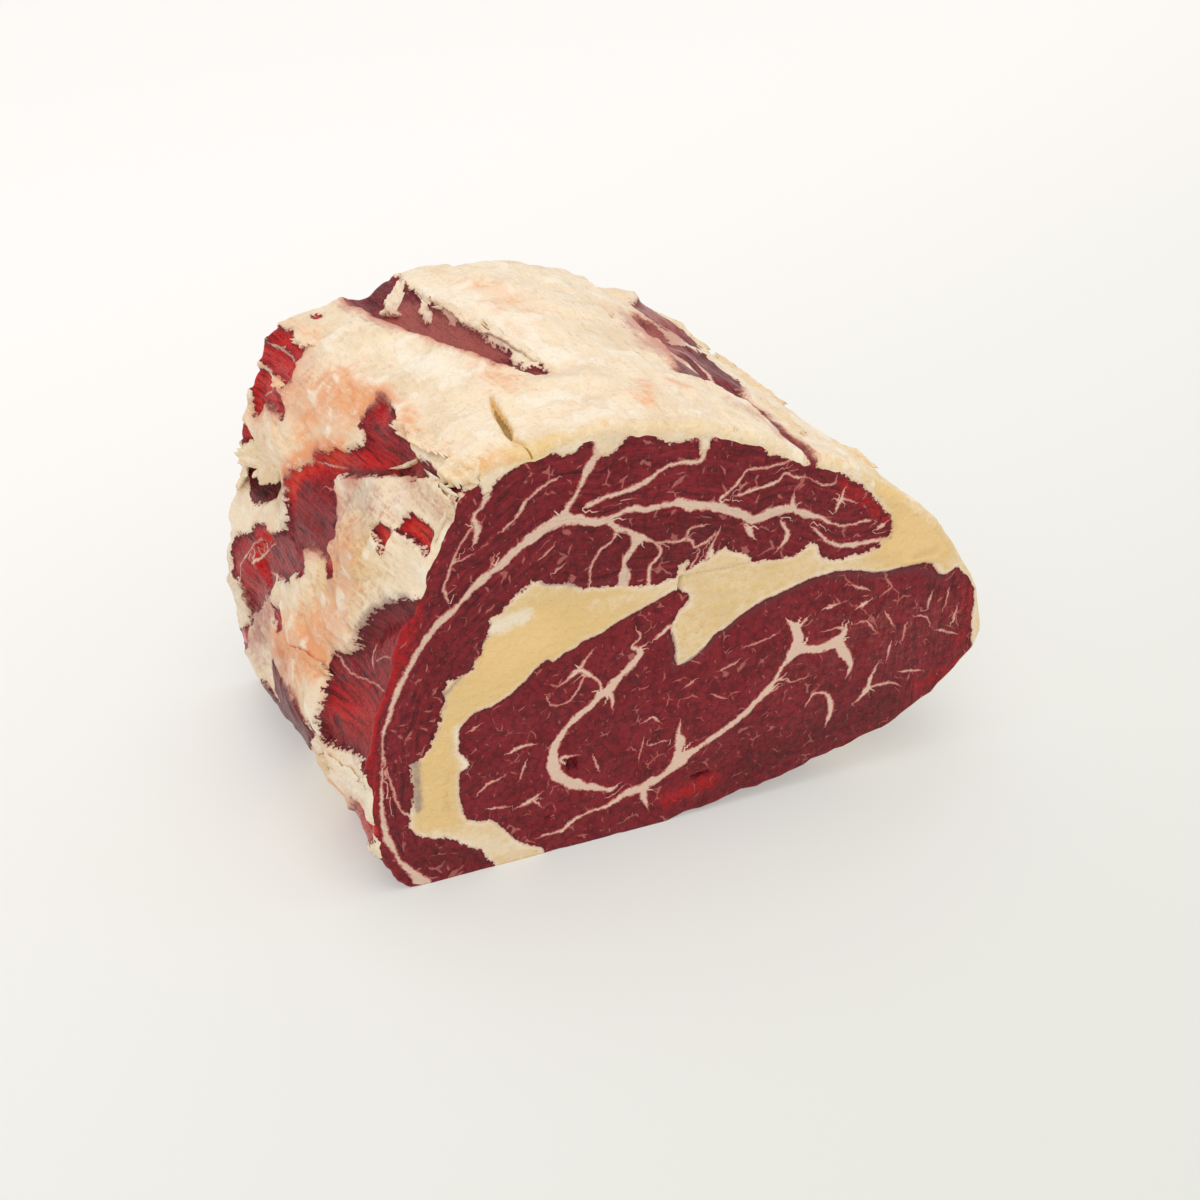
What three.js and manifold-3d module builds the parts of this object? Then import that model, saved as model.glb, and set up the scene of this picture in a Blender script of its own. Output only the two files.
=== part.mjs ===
// A raw ribeye joint: a thick boneless block of beef rib, cut straight across at the front and the back.
//
// The block stands on the side where the ribs were. Its cut face looks along -Y, the fat cap is on top, and the
// trimmed side, with its torn skin and bare meat, is on the left (-X). It is one piece of meat, so it is one solid.
//
// Places on the cut face are [x, z] in millimetres on a ruler that starts at the left end of the face.
// Places on the outside are [round, back]: millimetres round the cut face's outline from its lower left tip, up
// the left side and over the top, and millimetres back from the cut face.

import * as THREE from "three";
import { mergeVertices } from "three/addons/utils/BufferGeometryUtils.js";
import Module from "manifold-3d";

// Driving dimensions
const LENGTH = 120; // from the cut face to the back
const MIDDLE = 91; // the ruler's reading at the middle of the block
const KERNEL = [86, 58]; // the point of a section that its rings close in on
const RIM_RADIUS = 2.4; // rounding of the knife's edge round both ends
const FLAP_SINK = 0.8; // how deep a flap's sunk edge lies

// How finely the surface is divided
const GRID = 25; // squares along each side of an end, a quarter of the columns round the block
const RINGS_BACK = 25; // rings of squares along the block, between its two rounded edges
const RIM_ROWS = [0, 0.375, 1]; // rows across a rounded edge, in its radius

// The section's outline, clockwise from the lower left tip: where it passes at the cut face and at the back.
const OUTLINE = [
  { at: "tip", face: [9, 0], back: [6, 0] },
  { at: "toe", face: [1.5, 12], back: [-3, 13] },
  { at: "lower left", face: [-1.5, 39], back: [-7.5, 40] },
  { at: "left", face: [5, 71], back: [-5, 71] },
  { at: "upper left", face: [18, 101], back: [1, 100] },
  { at: "shoulder", face: [32, 125.5], back: [13, 122] },
  { at: "brow", face: [47, 131.3], back: [29, 128.2] },
  { at: "crown", face: [78, 132.5], back: [62, 134] },
  { at: "upper slope", face: [112, 122], back: [97, 128] },
  { at: "slope", face: [145, 104.8], back: [128, 112] },
  { at: "lower slope", face: [172, 82.5], back: [153, 85] },
  { at: "nose", face: [187.5, 56], back: [165, 54] },
  { at: "chin", face: [188, 34], back: [163, 34] },
  { at: "lower right", face: [163, 16.5], back: [145, 15.5] },
  { at: "right of the foot", face: [126, 5.5], back: [113, 2.5] },
  { at: "foot", face: [82, -1.2], back: [76, -1] },
  { at: "left of the foot", face: [36, -1.2], back: [32, -1] },
];

// Rises (+) and hollows (-) of the outside: where, how far each spreads round and back, and how high it stands.
const SWELLS = [
  { of: "side behind the face", at: [45, 46], spread: [24, 34], rise: 3.6 },
  { of: "flank meat at the back", at: [50, 106], spread: [13, 17], rise: 2.4 },
  { of: "foot of the flank", at: [22, 100], spread: [14, 22], rise: 4.2 },
  { of: "torn hollow", at: [87, 104], spread: [9, 15], rise: -8.5 },
  { of: "red channel under the cap, back", at: [106, 60], spread: [9, 17], rise: -3.2 },
  { of: "red channel under the cap, front", at: [124, 34], spread: [6, 17], rise: -3.6 },
  { of: "bare meat by the face", at: [62, 14], spread: [22, 12], rise: -2.6 },
  { of: "skin over the flank", at: [94, 32], spread: [17, 16], rise: 2.6 },
  { of: "hem of the cap at the back", at: [104, 84], spread: [8, 16], rise: 3.0 },
  { of: "bare corner at the back", at: [113, 118], spread: [16, 10], rise: -1.8 },
  { of: "corner of the cap at the face", at: [141, 8], spread: [10, 11], rise: 1.8 },
  { of: "dip behind the shoulder", at: [140, 74], spread: [16, 26], rise: -2.6 },
  { of: "cap between the strips", at: [196, 90], spread: [22, 30], rise: 2.2 },
  { of: "cap in front of the strips", at: [205, 22], spread: [22, 20], rise: 1.4 },
  { of: "far end of the top", at: [190, 126], spread: [30, 16], rise: -2.4 },
  { of: "slope beside the crease", at: [256, 66], spread: [14, 40], rise: -1.6 },
  { of: "hollow over the nose", at: [300, 84], spread: [16, 26], rise: -3.0 },
  { of: "chine side", at: [345, 66], spread: [26, 34], rise: 3.0 },
  { of: "first rib's bed", at: [386, 26], spread: [34, 9], rise: -2.4 },
  { of: "second rib's bed", at: [386, 84], spread: [34, 9], rise: -2.4 },
];

// Furrows of the outside: the line each one follows, its half width and its depth.
const FURROWS = [
  { of: "bare strip in the cap", along: [[161, 122], [162, 100], [167, 78], [174, 58], [180, 40]], half: 6, deep: 3.4 },
  { of: "crease beside the slope", along: [[243, 122], [238, 92], [233, 62], [241, 34], [237, 4]], half: 5.5, deep: 1.8 },
  { of: "hem of the skin", along: [[98, -2], [86, 13], [70, 22], [64, 36]], half: 4, deep: 2.4 },
];

// Flaps of fat and skin that hang over the surface. Each is a thin tongue laid along the surface. One long edge is
// sunk in it and the other stands off it. Where its middle is, its length, width and thickness, its turn from the
// block's length, how far its free edge stands off, and how far its ends curl up.
const FLAPS = [
  { of: "torn flap over the hollow", at: [98, 105.5], size: [25, 13, 3.4], turn: -8, stand: 3.2, curl: 0.5 },
  { of: "torn flap inside the hollow", at: [89, 93], size: [15, 11, 2.8], turn: 24, stand: 1.6, curl: 0.4 },
  { of: "hem of the cap over the channel", at: [130, 26], size: [40, 9, 3.6], turn: 7, stand: 1.8, curl: 0.2 },
  { of: "hem of the cap, further back", at: [112, 76], size: [34, 9, 3], turn: 24, stand: 1.0, curl: 0.2 },
  { of: "hem of the skin beside the face", at: [126, 8], size: [15, 9, 3], turn: 176, stand: 1.4, curl: 0.2 },
  { of: "shred at the strip's far end", at: [168, 108], size: [19, 7, 3], turn: -28, stand: 1.8, curl: 0.5 },
  { of: "hem at the strip's near end", at: [180, 52], size: [24, 6, 2.4], turn: 10, stand: 0.8, curl: 0.2 },
  { of: "ragged crest, middle", at: [273, 73], size: [20, 7, 3], turn: 184, stand: 1.6, curl: 0.4 },
  { of: "ragged crest, front", at: [275, 30], size: [16, 6, 2.6], turn: 176, stand: 1.4, curl: 0.4 },
  { of: "nub on the nose", at: [341, 5], size: [7, 7, 5], turn: 0, stand: 1.2, curl: 0 },
];

const wave = (length, phase, value) => Math.sin((2 * Math.PI * value) / length + phase);

const faceLine = new THREE.CatmullRomCurve3(OUTLINE.map(({ face: [x, z] }) => new THREE.Vector3(x, 0, z)), true);
const backLine = new THREE.CatmullRomCurve3(OUTLINE.map(({ back: [x, z] }) => new THREE.Vector3(x, LENGTH, z)), true);
const GIRTH = faceLine.getLength();

// The section's unrelieved outline: a straight run from the cut face's outline to the back's.
function plainPoint(round, back) {
  const t = faceLine.getUtoTmapping(THREE.MathUtils.euclideanModulo(round / GIRTH, 1));
  return faceLine.getPoint(t).lerp(backLine.getPoint(t), back / LENGTH);
}

// Unit vectors at a point of the outside: round the section, out of it, and back along the block.
function directions(round, back) {
  const step = 1.5;
  const ahead = plainPoint(round + step, back).sub(plainPoint(round - step, back)).normalize();
  const backward = new THREE.Vector3(0, 1, 0);
  return { round: ahead, out: new THREE.Vector3().crossVectors(ahead, backward), backward };
}

// The distance round the block from one place to another, by the shorter way.
function roundGap(from, to) {
  return THREE.MathUtils.euclideanModulo(to - from + GIRTH / 2, GIRTH) - GIRTH / 2;
}

function distanceToLine(round, back, line) {
  let nearest = Infinity;
  for (let i = 0; i + 1 < line.length; i++) {
    const [r0, b0] = line[i];
    const [dr, db] = [line[i + 1][0] - r0, line[i + 1][1] - b0];
    const [pr, pb] = [roundGap(r0, round), back - b0];
    const share = THREE.MathUtils.clamp((pr * dr + pb * db) / (dr * dr + db * db), 0, 1);
    nearest = Math.min(nearest, Math.hypot(pr - share * dr, pb - share * db));
  }
  return nearest;
}

// How far the real surface stands out from the plain outline.
function relief(round, back) {
  let height = 0.5 * wave(41, 0.4, round) * wave(37, 1.1, back) + 0.35 * wave(23, 2.0, round + 0.6 * back);
  for (const { at, spread, rise } of SWELLS) {
    const [across, along] = [roundGap(at[0], round) / spread[0], (back - at[1]) / spread[1]];
    height += rise * Math.exp(-across * across - along * along);
  }
  for (const { along, half, deep } of FURROWS) {
    const away = distanceToLine(round, back, along) / half;
    height -= deep * Math.exp(-away * away);
  }
  return height;
}

// How far the rounded knife's edge draws the surface in, near either end.
function rimInset(back) {
  const fromEnd = Math.min(back, LENGTH - back);
  if (fromEnd >= RIM_RADIUS) return 0;
  return RIM_RADIUS - Math.sqrt(RIM_RADIUS ** 2 - (RIM_RADIUS - fromEnd) ** 2);
}

// A point of the outside. What would sink below the table is pressed flat on it.
function outsidePoint(round, back) {
  const point = plainPoint(round, back);
  point.addScaledVector(directions(round, back).out, relief(round, back) - rimInset(back));
  point.z = Math.max(point.z, 0);
  return point;
}

// The muscles swell a little from both cut ends, and the fat seams between them stay back.
function endSwell(x, z) {
  const eye = 1.6 * Math.exp(-(((x - 128) / 44) ** 2) - ((z - 42) / 24) ** 2);
  const capMuscle = 0.9 * Math.exp(-(((x - 100) / 52) ** 2) - ((z - 104) / 11) ** 2);
  const kernelFat = -0.9 * Math.exp(-(((x - 52) / 24) ** 2) - ((z - 76) / 10) ** 2);
  return eye + capMuscle + kernelFat;
}

// A square grid drawn over an end. Its rings of squares are the outline, drawn in towards the kernel.
function gridPlace(i, j) {
  const [a, b] = [(2 * i) / GRID - 1, (2 * j) / GRID - 1];
  const ring = Math.max(Math.abs(a), Math.abs(b));
  if (ring === 0) return { ring, turn: 0 };
  const along = (value) => (value / ring + 1) / 2;
  const sides = [[-a, 0 + along(b)], [b, 1 + along(a)], [a, 2 + along(-b)], [-b, 3 + along(-a)]];
  const [, quarter] = sides.find(([reach]) => reach > ring - 1e-9);
  return { ring, turn: (quarter / 4) % 1 };
}

// How far back each row of the outside lies. The rounded edges have rows of their own.
function rowsBack() {
  const run = LENGTH - 2 * RIM_RADIUS;
  const between = Array.from({ length: RINGS_BACK - 1 }, (_, i) => RIM_RADIUS + ((i + 1) / RINGS_BACK) * run);
  const front = RIM_ROWS.map((share) => share * RIM_RADIUS);
  return [...front, ...between, ...front.map((depth) => LENGTH - depth).reverse()];
}

function blockGeometry() {
  const columns = 4 * GRID;
  const rows = rowsBack();
  const [places, faces] = [[], []];
  for (const back of rows)
    for (let c = 0; c < columns; c++) places.push(outsidePoint((c / columns) * GIRTH, back));

  const quad = (p, q, r, s) => faces.push(p, q, r, p, r, s);
  for (let row = 0; row + 1 < rows.length; row++)
    for (let c = 0; c < columns; c++) {
      const next = (c + 1) % columns;
      const [here, there] = [row * columns, (row + 1) * columns];
      quad(here + c, here + next, there + next, there + c);
    }

  for (const [back, outwards] of [[0, -1], [LENGTH, 1]]) {
    const rimRow = (back === 0 ? 0 : rows.length - 1) * columns;
    const index = [];
    for (let i = 0; i <= GRID; i++)
      for (let j = 0; j <= GRID; j++) {
        const { ring, turn } = gridPlace(i, j);
        if (ring > 1 - 1e-9) {
          index.push(rimRow + (Math.round(turn * columns) % columns));
          continue;
        }
        const rim = outsidePoint(turn * GIRTH, back);
        const point = new THREE.Vector3(KERNEL[0], back, KERNEL[1]).lerp(rim, ring);
        point.y += outwards * endSwell(point.x, point.z) * (1 - ring ** 4);
        index.push(places.push(point) - 1);
      }
    const at = (i, j) => index[i * (GRID + 1) + j];
    for (let i = 0; i < GRID; i++)
      for (let j = 0; j < GRID; j++) {
        const corners = [at(i, j), at(i + 1, j), at(i + 1, j + 1), at(i, j + 1)];
        quad(...(outwards < 0 ? corners : corners.reverse()));
      }
  }
  return new THREE.BufferGeometry().setFromPoints(places).setIndex(faces);
}

// A flap: a flattened ball, laid along the surface and tilted off it.
function flapGeometry({ at: [round, back], size: [length, width, thickness], turn, stand, curl }) {
  const ball = new THREE.SphereGeometry(1, 12, 7);
  ball.deleteAttribute("normal");
  ball.deleteAttribute("uv");
  const flap = mergeVertices(ball);
  const shape = flap.attributes.position;
  const angle = THREE.MathUtils.degToRad(turn);
  for (let i = 0; i < shape.count; i++) {
    const [along, across, up] = [shape.getX(i), shape.getY(i), shape.getZ(i)];
    const [forth, aside] = [(along * length) / 2, (across * width) / 2];
    const there = [
      round - forth * Math.sin(angle) - aside * Math.cos(angle),
      THREE.MathUtils.clamp(back + forth * Math.cos(angle) - aside * Math.sin(angle), 0, LENGTH),
    ];
    const free = (1 + across) / 2;
    const height = (up * thickness) / 2 + stand * free ** 1.5 + curl * along * along - FLAP_SINK * (1 - free);
    const point = outsidePoint(...there).addScaledVector(directions(...there).out, height);
    shape.setXYZ(i, point.x, point.y, point.z);
  }
  return flap;
}

const wasm = await Module();
wasm.setup();

// The geometry's vertices are shared by its faces already.
function solidOf(geometry) {
  return new wasm.Manifold(new wasm.Mesh({
    numProp: 3,
    vertProperties: geometry.attributes.position.array,
    triVerts: new Uint32Array(geometry.index.array),
  }));
}

function geometryOf(solid) {
  const { vertProperties, triVerts } = solid.getMesh();
  const geometry = new THREE.BufferGeometry();
  geometry.setAttribute("position", new THREE.BufferAttribute(vertProperties, 3));
  geometry.setIndex(new THREE.BufferAttribute(triVerts, 1));
  geometry.computeVertexNormals();
  return geometry;
}

const joint = FLAPS.reduce((meat, flap) => meat.add(solidOf(flapGeometry(flap))), solidOf(blockGeometry()));

const ribeye = new THREE.Mesh(
  geometryOf(joint),
  new THREE.MeshStandardMaterial({ color: 0x8a2a2e, roughness: 0.5, metalness: 0 }),
);
ribeye.name = "ribeye";
ribeye.position.set(-MIDDLE, -LENGTH / 2, 0);

const group = new THREE.Group();
group.add(ribeye);

export default group;
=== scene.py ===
# A raw ribeye joint on a pale table: a thick boneless block of beef rib, cut across to show its muscles and
# fat.
#
# Places on the cut face are (x, z) in millimetres on a ruler that starts at the left end of the face.
# Places on the outside are (round, back): millimetres round the cut face's outline from its lower left tip,
# up the left side and over the top, and millimetres back from the cut face.

import math

import bpy
import numpy as np
from mathutils import Matrix, Vector


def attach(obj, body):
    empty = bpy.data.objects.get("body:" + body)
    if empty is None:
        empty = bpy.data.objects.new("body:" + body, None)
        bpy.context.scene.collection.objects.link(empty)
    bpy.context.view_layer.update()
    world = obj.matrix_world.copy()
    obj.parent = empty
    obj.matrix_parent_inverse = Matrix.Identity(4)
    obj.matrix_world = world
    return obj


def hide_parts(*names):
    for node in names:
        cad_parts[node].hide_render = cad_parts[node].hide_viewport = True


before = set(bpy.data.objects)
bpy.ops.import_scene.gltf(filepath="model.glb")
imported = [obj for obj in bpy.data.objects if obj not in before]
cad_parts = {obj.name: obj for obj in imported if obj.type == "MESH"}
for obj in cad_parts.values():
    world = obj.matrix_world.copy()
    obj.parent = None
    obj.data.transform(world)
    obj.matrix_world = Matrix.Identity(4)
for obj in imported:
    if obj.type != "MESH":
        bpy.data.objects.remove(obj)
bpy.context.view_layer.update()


# ------------------------------------------------------------------------------------------------------------
# The block of meat. It is one piece of beef: a section through the rib muscles, carried 12 cm back from a
# straight knife cut. Fat covers the top, torn skin and bare meat the left side, and the foot is pressed
# flat.

LENGTH = 120.0          # from the cut face to the back
OUTLINE_STEPS = 40      # straight steps between two places of the outline
HEADING_REACH = 1.5     # how far each way the outline's heading is taken

# Where the section's outline passes at the cut face and at the back, clockwise from the lower left tip.
OUTLINE = {
    "tip": ((9, 0), (6, 0)),
    "toe": ((1.5, 12), (-3, 13)),
    "lower left": ((-1.5, 39), (-7.5, 40)),
    "left": ((5, 71), (-5, 71)),
    "upper left": ((18, 101), (1, 100)),
    "shoulder": ((32, 125.5), (13, 122)),
    "brow": ((47, 131.3), (29, 128.2)),
    "crown": ((78, 132.5), (62, 134)),
    "upper slope": ((112, 122), (97, 128)),
    "slope": ((145, 104.8), (128, 112)),
    "lower slope": ((172, 82.5), (153, 85)),
    "nose": ((187.5, 56), (165, 54)),
    "chin": ((188, 34), (163, 34)),
    "lower right": ((163, 16.5), (145, 15.5)),
    "right of the foot": ((126, 5.5), (113, 2.5)),
    "foot": ((82, -1.2), (76, -1)),
    "left of the foot": ((36, -1.2), (32, -1)),
}

# Rises (+) and hollows (-) of the outside: (round, back), how far each spreads round and back, how high it
# is.
SWELLS = {
    "side behind the face": ((45, 46), (24, 34), 3.6),
    "flank meat at the back": ((50, 106), (13, 17), 2.4),
    "foot of the flank": ((22, 100), (14, 22), 4.2),
    "torn hollow": ((87, 104), (9, 15), -8.5),
    "red channel under the cap, back": ((106, 60), (9, 17), -3.2),
    "red channel under the cap, front": ((124, 34), (6, 17), -3.6),
    "bare meat by the face": ((62, 14), (22, 12), -2.6),
    "skin over the flank": ((94, 32), (17, 16), 2.6),
    "hem of the cap at the back": ((104, 84), (8, 16), 3.0),
    "bare corner at the back": ((113, 118), (16, 10), -1.8),
    "corner of the cap at the face": ((141, 8), (10, 11), 1.8),
    "dip behind the shoulder": ((140, 74), (16, 26), -2.6),
    "cap between the strips": ((196, 90), (22, 30), 2.2),
    "cap in front of the strips": ((205, 22), (22, 20), 1.4),
    "far end of the top": ((190, 126), (30, 16), -2.4),
    "slope beside the crease": ((256, 66), (14, 40), -1.6),
    "hollow over the nose": ((300, 84), (16, 26), -3.0),
    "chine side": ((345, 66), (26, 34), 3.0),
    "first rib's bed": ((386, 26), (34, 9), -2.4),
    "second rib's bed": ((386, 84), (34, 9), -2.4),
}

# Furrows of the outside: the line each one follows, its half width and its depth.
FURROWS = {
    "bare strip in the cap": (((161, 122), (162, 100), (167, 78), (174, 58), (180, 40)), 6, 3.4),
    "crease beside the slope": (((243, 122), (238, 92), (233, 62), (241, 34), (237, 4)), 5.5, 1.8),
    "hem of the skin": (((98, -2), (86, 13), (70, 22), (64, 36)), 4, 2.4),
}

# Two slow waves of the outside. The first: its height, and its length and phase round the block and back.
# The second: its height, its length and phase, and how much it leans back.
SLOW_WAVE = (0.5, (41, 0.4), (37, 1.1))
LEANING_WAVE = (0.35, (23, 2.0), 0.6)


def smooth_curve(points, steps, closed=False):
    """A smooth line through the points, as an array of places along it. Between two of them it is the cubic
    that leaves and arrives along the chords of their neighbours, weighed by the square root of each chord's
    length."""
    points = np.asarray(points, float)
    if closed:
        around = np.vstack([points[-1:], points, points[:2]])
    else:
        around = np.vstack([2 * points[0] - points[1], points, 2 * points[-1] - points[-2]])
    before, start, end, after = around[:-3], around[1:-2], around[2:-1], around[3:]
    chord_in, chord, chord_out = (
        np.sqrt(np.hypot(*(q - p)[:, :2].T))[:, None]
        for p, q in ((before, start), (start, end), (end, after)))
    run = (end - start) / chord
    leave = ((start - before) / chord_in - (end - before) / (chord_in + chord) + run) * chord
    arrive = (run - (after - start) / (chord + chord_out) + (after - end) / chord_out) * chord
    w = np.linspace(0, 1, steps, endpoint=False)[:, None, None]
    line = start + leave * w + (3 * (end - start) - 2 * leave - arrive) * w**2
    line = line + (2 * (start - end) + leave + arrive) * w**3
    line = line.swapaxes(0, 1).reshape(-1, points.shape[1])
    return np.vstack([line, line[:1] if closed else points[-1:]])


face_line = smooth_curve([face for face, back in OUTLINE.values()], OUTLINE_STEPS, closed=True)
back_line = smooth_curve([back for face, back in OUTLINE.values()], OUTLINE_STEPS, closed=True)
round_reading = np.r_[0, np.cumsum(np.hypot(*np.diff(face_line, axis=0).T))]
GIRTH = round_reading[-1]


def smoothstep(low, high, value):
    """0 at low, 1 at high, and between them the cubic 3t^2 - 2t^3. Low may be the larger one."""
    t = np.clip((value - low) / (high - low), 0, 1)
    return t * t * (3 - 2 * t)


def round_gap(start, round_):
    """How far a place lies round the block from another one, by the shorter way."""
    return np.mod(round_ - start + GIRTH / 2, GIRTH) - GIRTH / 2


def nearest_on(line, across, up):
    """For each place (across, up): its distance to a line, the same with a minus sign on the line's right,
    the line's reading at the nearest point, and the line's third column there. The nearest point of a
    stretch is the place's offset from its start, projected on the stretch and held between its ends."""
    line = np.asarray(line, float)
    gap, side, along, third = np.full((4, len(across)), 1e6)
    walked = 0.0
    for start, end in zip(line[:-1], line[1:]):
        run = end - start
        length = math.hypot(run[0], run[1])
        dx, dz = across - start[0], up - start[1]
        share = np.clip((dx * run[0] + dz * run[1]) / length**2, 0, 1)
        away = np.hypot(dx - share * run[0], dz - share * run[1])
        closer = away < gap
        gap = np.where(closer, away, gap)
        side = np.where(closer, np.where(run[0] * dz > run[1] * dx, away, -away), side)
        along = np.where(closer, walked + share * length, along)
        if len(run) > 2:
            third = np.where(closer, start[2] + share * run[2], third)
        walked += length
    return gap, side, along, third


def plain_outline(round_, back):
    """The unswollen outside: a straight run from the face's outline to the back's, at the same place on
    both."""
    at = np.interp(np.mod(round_, GIRTH), round_reading, np.arange(len(round_reading)))
    index = np.minimum(at.astype(int), len(round_reading) - 2)
    share = (at - index)[:, None]
    near = face_line[index] * (1 - share) + face_line[index + 1] * share
    far = back_line[index] * (1 - share) + back_line[index + 1] * share
    section = near + (far - near) * (back / LENGTH)[:, None]
    return np.column_stack([section[:, 0], back, section[:, 1]])


def outwards(round_, back):
    """The direction out of the block: the outline's own heading, turned a quarter."""
    heading = plain_outline(round_ + HEADING_REACH, back) - plain_outline(round_ - HEADING_REACH, back)
    heading /= np.linalg.norm(heading, axis=1)[:, None]
    return np.column_stack([-heading[:, 2], np.zeros(len(back)), heading[:, 0]])


def wave(length, phase, value):
    """A sine wave of that length in millimetres."""
    return np.sin(2 * np.pi * value / length + phase)


def swelling(round_, back):
    """How far the outside stands out: the two slow waves, each swell as rise * exp(-d^2), and each furrow's
    depth times exp(-d^2) taken away, where d counts the distance in the spread or the half width."""
    (high, by_round, by_back), (low, leaning, lean_back) = SLOW_WAVE, LEANING_WAVE
    height = high * wave(*by_round, round_) * wave(*by_back, back)
    height += low * wave(*leaning, round_ + lean_back * back)
    for (across, along), (wide, deep), rise in SWELLS.values():
        height += rise * np.exp(-((round_gap(across, round_) / wide) ** 2) - ((back - along) / deep) ** 2)
    for line, half, deep in FURROWS.values():
        start = line[0][0]
        height -= deep * np.exp(-((nearest_on(line, start + round_gap(start, round_), back)[0] / half) ** 2))
    return height


# ------------------------------------------------------------------------------------------------------------
# The cut face. The knife went straight across the muscles: the eye below, the cap muscle arched over it,
# and the thick seam of yellow kernel fat between them. Thin seams and flecks of fat run through the lean of
# both.

# The two bodies of lean, as closed rings. Where one reaches the outside, its ring runs on past the block.
CAP_MUSCLE = (
    (34, 0), (32.5, 2.5), (30.6, 6.3), (28, 8.8), (25, 10.6), (22.5, 13), (20, 15), (15.6, 15.6),
    (13, 17.5), (10.3, 19.4), (9.7, 22.5), (10, 26), (11.4, 30), (11, 35), (11, 42.5), (13.8, 43.8),
    (16.6, 47.5), (19, 51), (20, 55), (21.3, 60), (21.6, 63), (22.5, 66), (25.5, 67), (28, 68), (30, 68.8),
    (30.9, 71), (32.5, 75), (34.4, 78), (35.6, 81.3), (35, 83.8), (38.8, 85), (41.3, 88), (44.4, 90),
    (46.9, 91.9), (49.4, 91.9), (52.5, 90.3), (56.3, 89.7), (60, 88.4), (61.3, 86.3), (65, 86), (72.5, 85),
    (77.5, 83.5), (80, 83), (88.8, 83.4), (90.3, 88), (92.5, 88), (92.5, 85.3), (98, 87.5), (100, 91.3),
    (100.6, 88.4), (102, 88.8), (105, 92), (105, 88.8), (108.8, 86.9), (111.3, 85), (113, 83), (117.5, 83),
    (123, 82.2), (126.3, 82.5), (128, 84), (130.6, 84.7), (132.8, 83.8), (133.4, 81), (135, 79),
    (138.8, 77.8), (146.9, 77.5), (150, 78.8), (152.5, 78.8), (152.8, 80.6), (155.6, 81.3), (156.8, 84.4),
    (156.3, 86.3), (154.4, 89.4), (151.3, 93), (148.8, 96.3), (145.6, 100), (142.5, 102.5), (140, 104.4),
    (137.5, 106.4), (133, 108.3), (130, 110.8), (126.3, 112.6), (122.5, 113.3), (118.8, 114.8),
    (116, 115.4), (114.4, 118.3), (111.9, 120.8), (108.8, 122.6), (105.6, 124.5), (102.5, 125), (99, 124.5),
    (97.8, 121.4), (95.3, 120), (95.6, 124), (94.4, 124.8), (85, 125.4), (82.5, 127.6), (81.3, 130),
    (75.3, 130), (72.2, 127.3), (69, 125.2), (65.6, 125.6), (65, 130.5), (63.1, 130.8), (60, 128.3),
    (56.3, 127.9), (53.8, 129.2), (50, 129.2), (44.7, 128.3), (42.5, 126.4), (38.4, 125), (36.9, 121.4),
    (34.4, 121.7), (33.1, 125), (30, 125), (26, 123), (10, 118), (-12, 90), (-16, 40), (-10, -9), (33, -9))
EYE_MUSCLE = (
    (184.5, 60.5), (182.5, 62.5), (180, 65.8), (178, 64.7), (175, 64), (173, 65.6), (171.3, 68.8),
    (168.8, 69.7), (163.8, 70), (155.6, 69.9), (151.3, 70.5), (147.5, 71.9), (142.5, 73), (138.8, 73.8),
    (132.5, 73.4), (125, 71.9), (120, 70.6), (116.3, 70), (111.3, 67.5), (108, 65.6), (105, 63.4),
    (101.3, 62.2), (98.8, 59.4), (95.6, 56.6), (92.5, 55), (90, 54.4), (89.4, 56.9), (89, 61.3), (88, 65),
    (87.2, 66.3), (88.4, 70), (90, 72.5), (92.5, 74.4), (93.4, 76.3), (92.5, 77.8), (89, 79.4),
    (86.3, 78.4), (82.5, 77.2), (75, 74.4), (70, 72.2), (66.9, 70.6), (61.9, 69.4), (60, 67.8),
    (56.3, 67.2), (53, 65), (51.3, 66.3), (48, 64.4), (45, 61.3), (40, 57.8), (35, 55.3), (30, 54.7),
    (27.5, 52.5), (25.3, 50), (25, 45), (24.7, 42.5), (26.3, 41.3), (27.8, 38.4), (26.9, 36.9), (24.9, 36),
    (24.5, 32.5), (24.7, 27.5), (25.3, 22.5), (26.3, 19.4), (30, 17.5), (33.8, 16.9), (35.6, 14.4),
    (38, 11.9), (40, 8.8), (43, 5.6), (46.3, 3.8), (48.8, 2.5), (51, -9), (200, -9), (200, 28), (189, 33),
    (187.4, 39), (186.6, 45), (187, 52), (186.4, 57))

# How each of them looks: how ragged its edge is, how much its fibres show and how much it is marbled.
CAP_LOOK = {"fray": 1.15, "fibre": 0.75, "marbled": 1.0}
EYE_LOOK = {"fray": 0.6, "fibre": 0.2, "marbled": 0.55}
NOSE_OF_THE_EYE, NOSE_FIBRE = (140, 176), 0.4     # towards the right end, the eye's fibres show more

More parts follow.
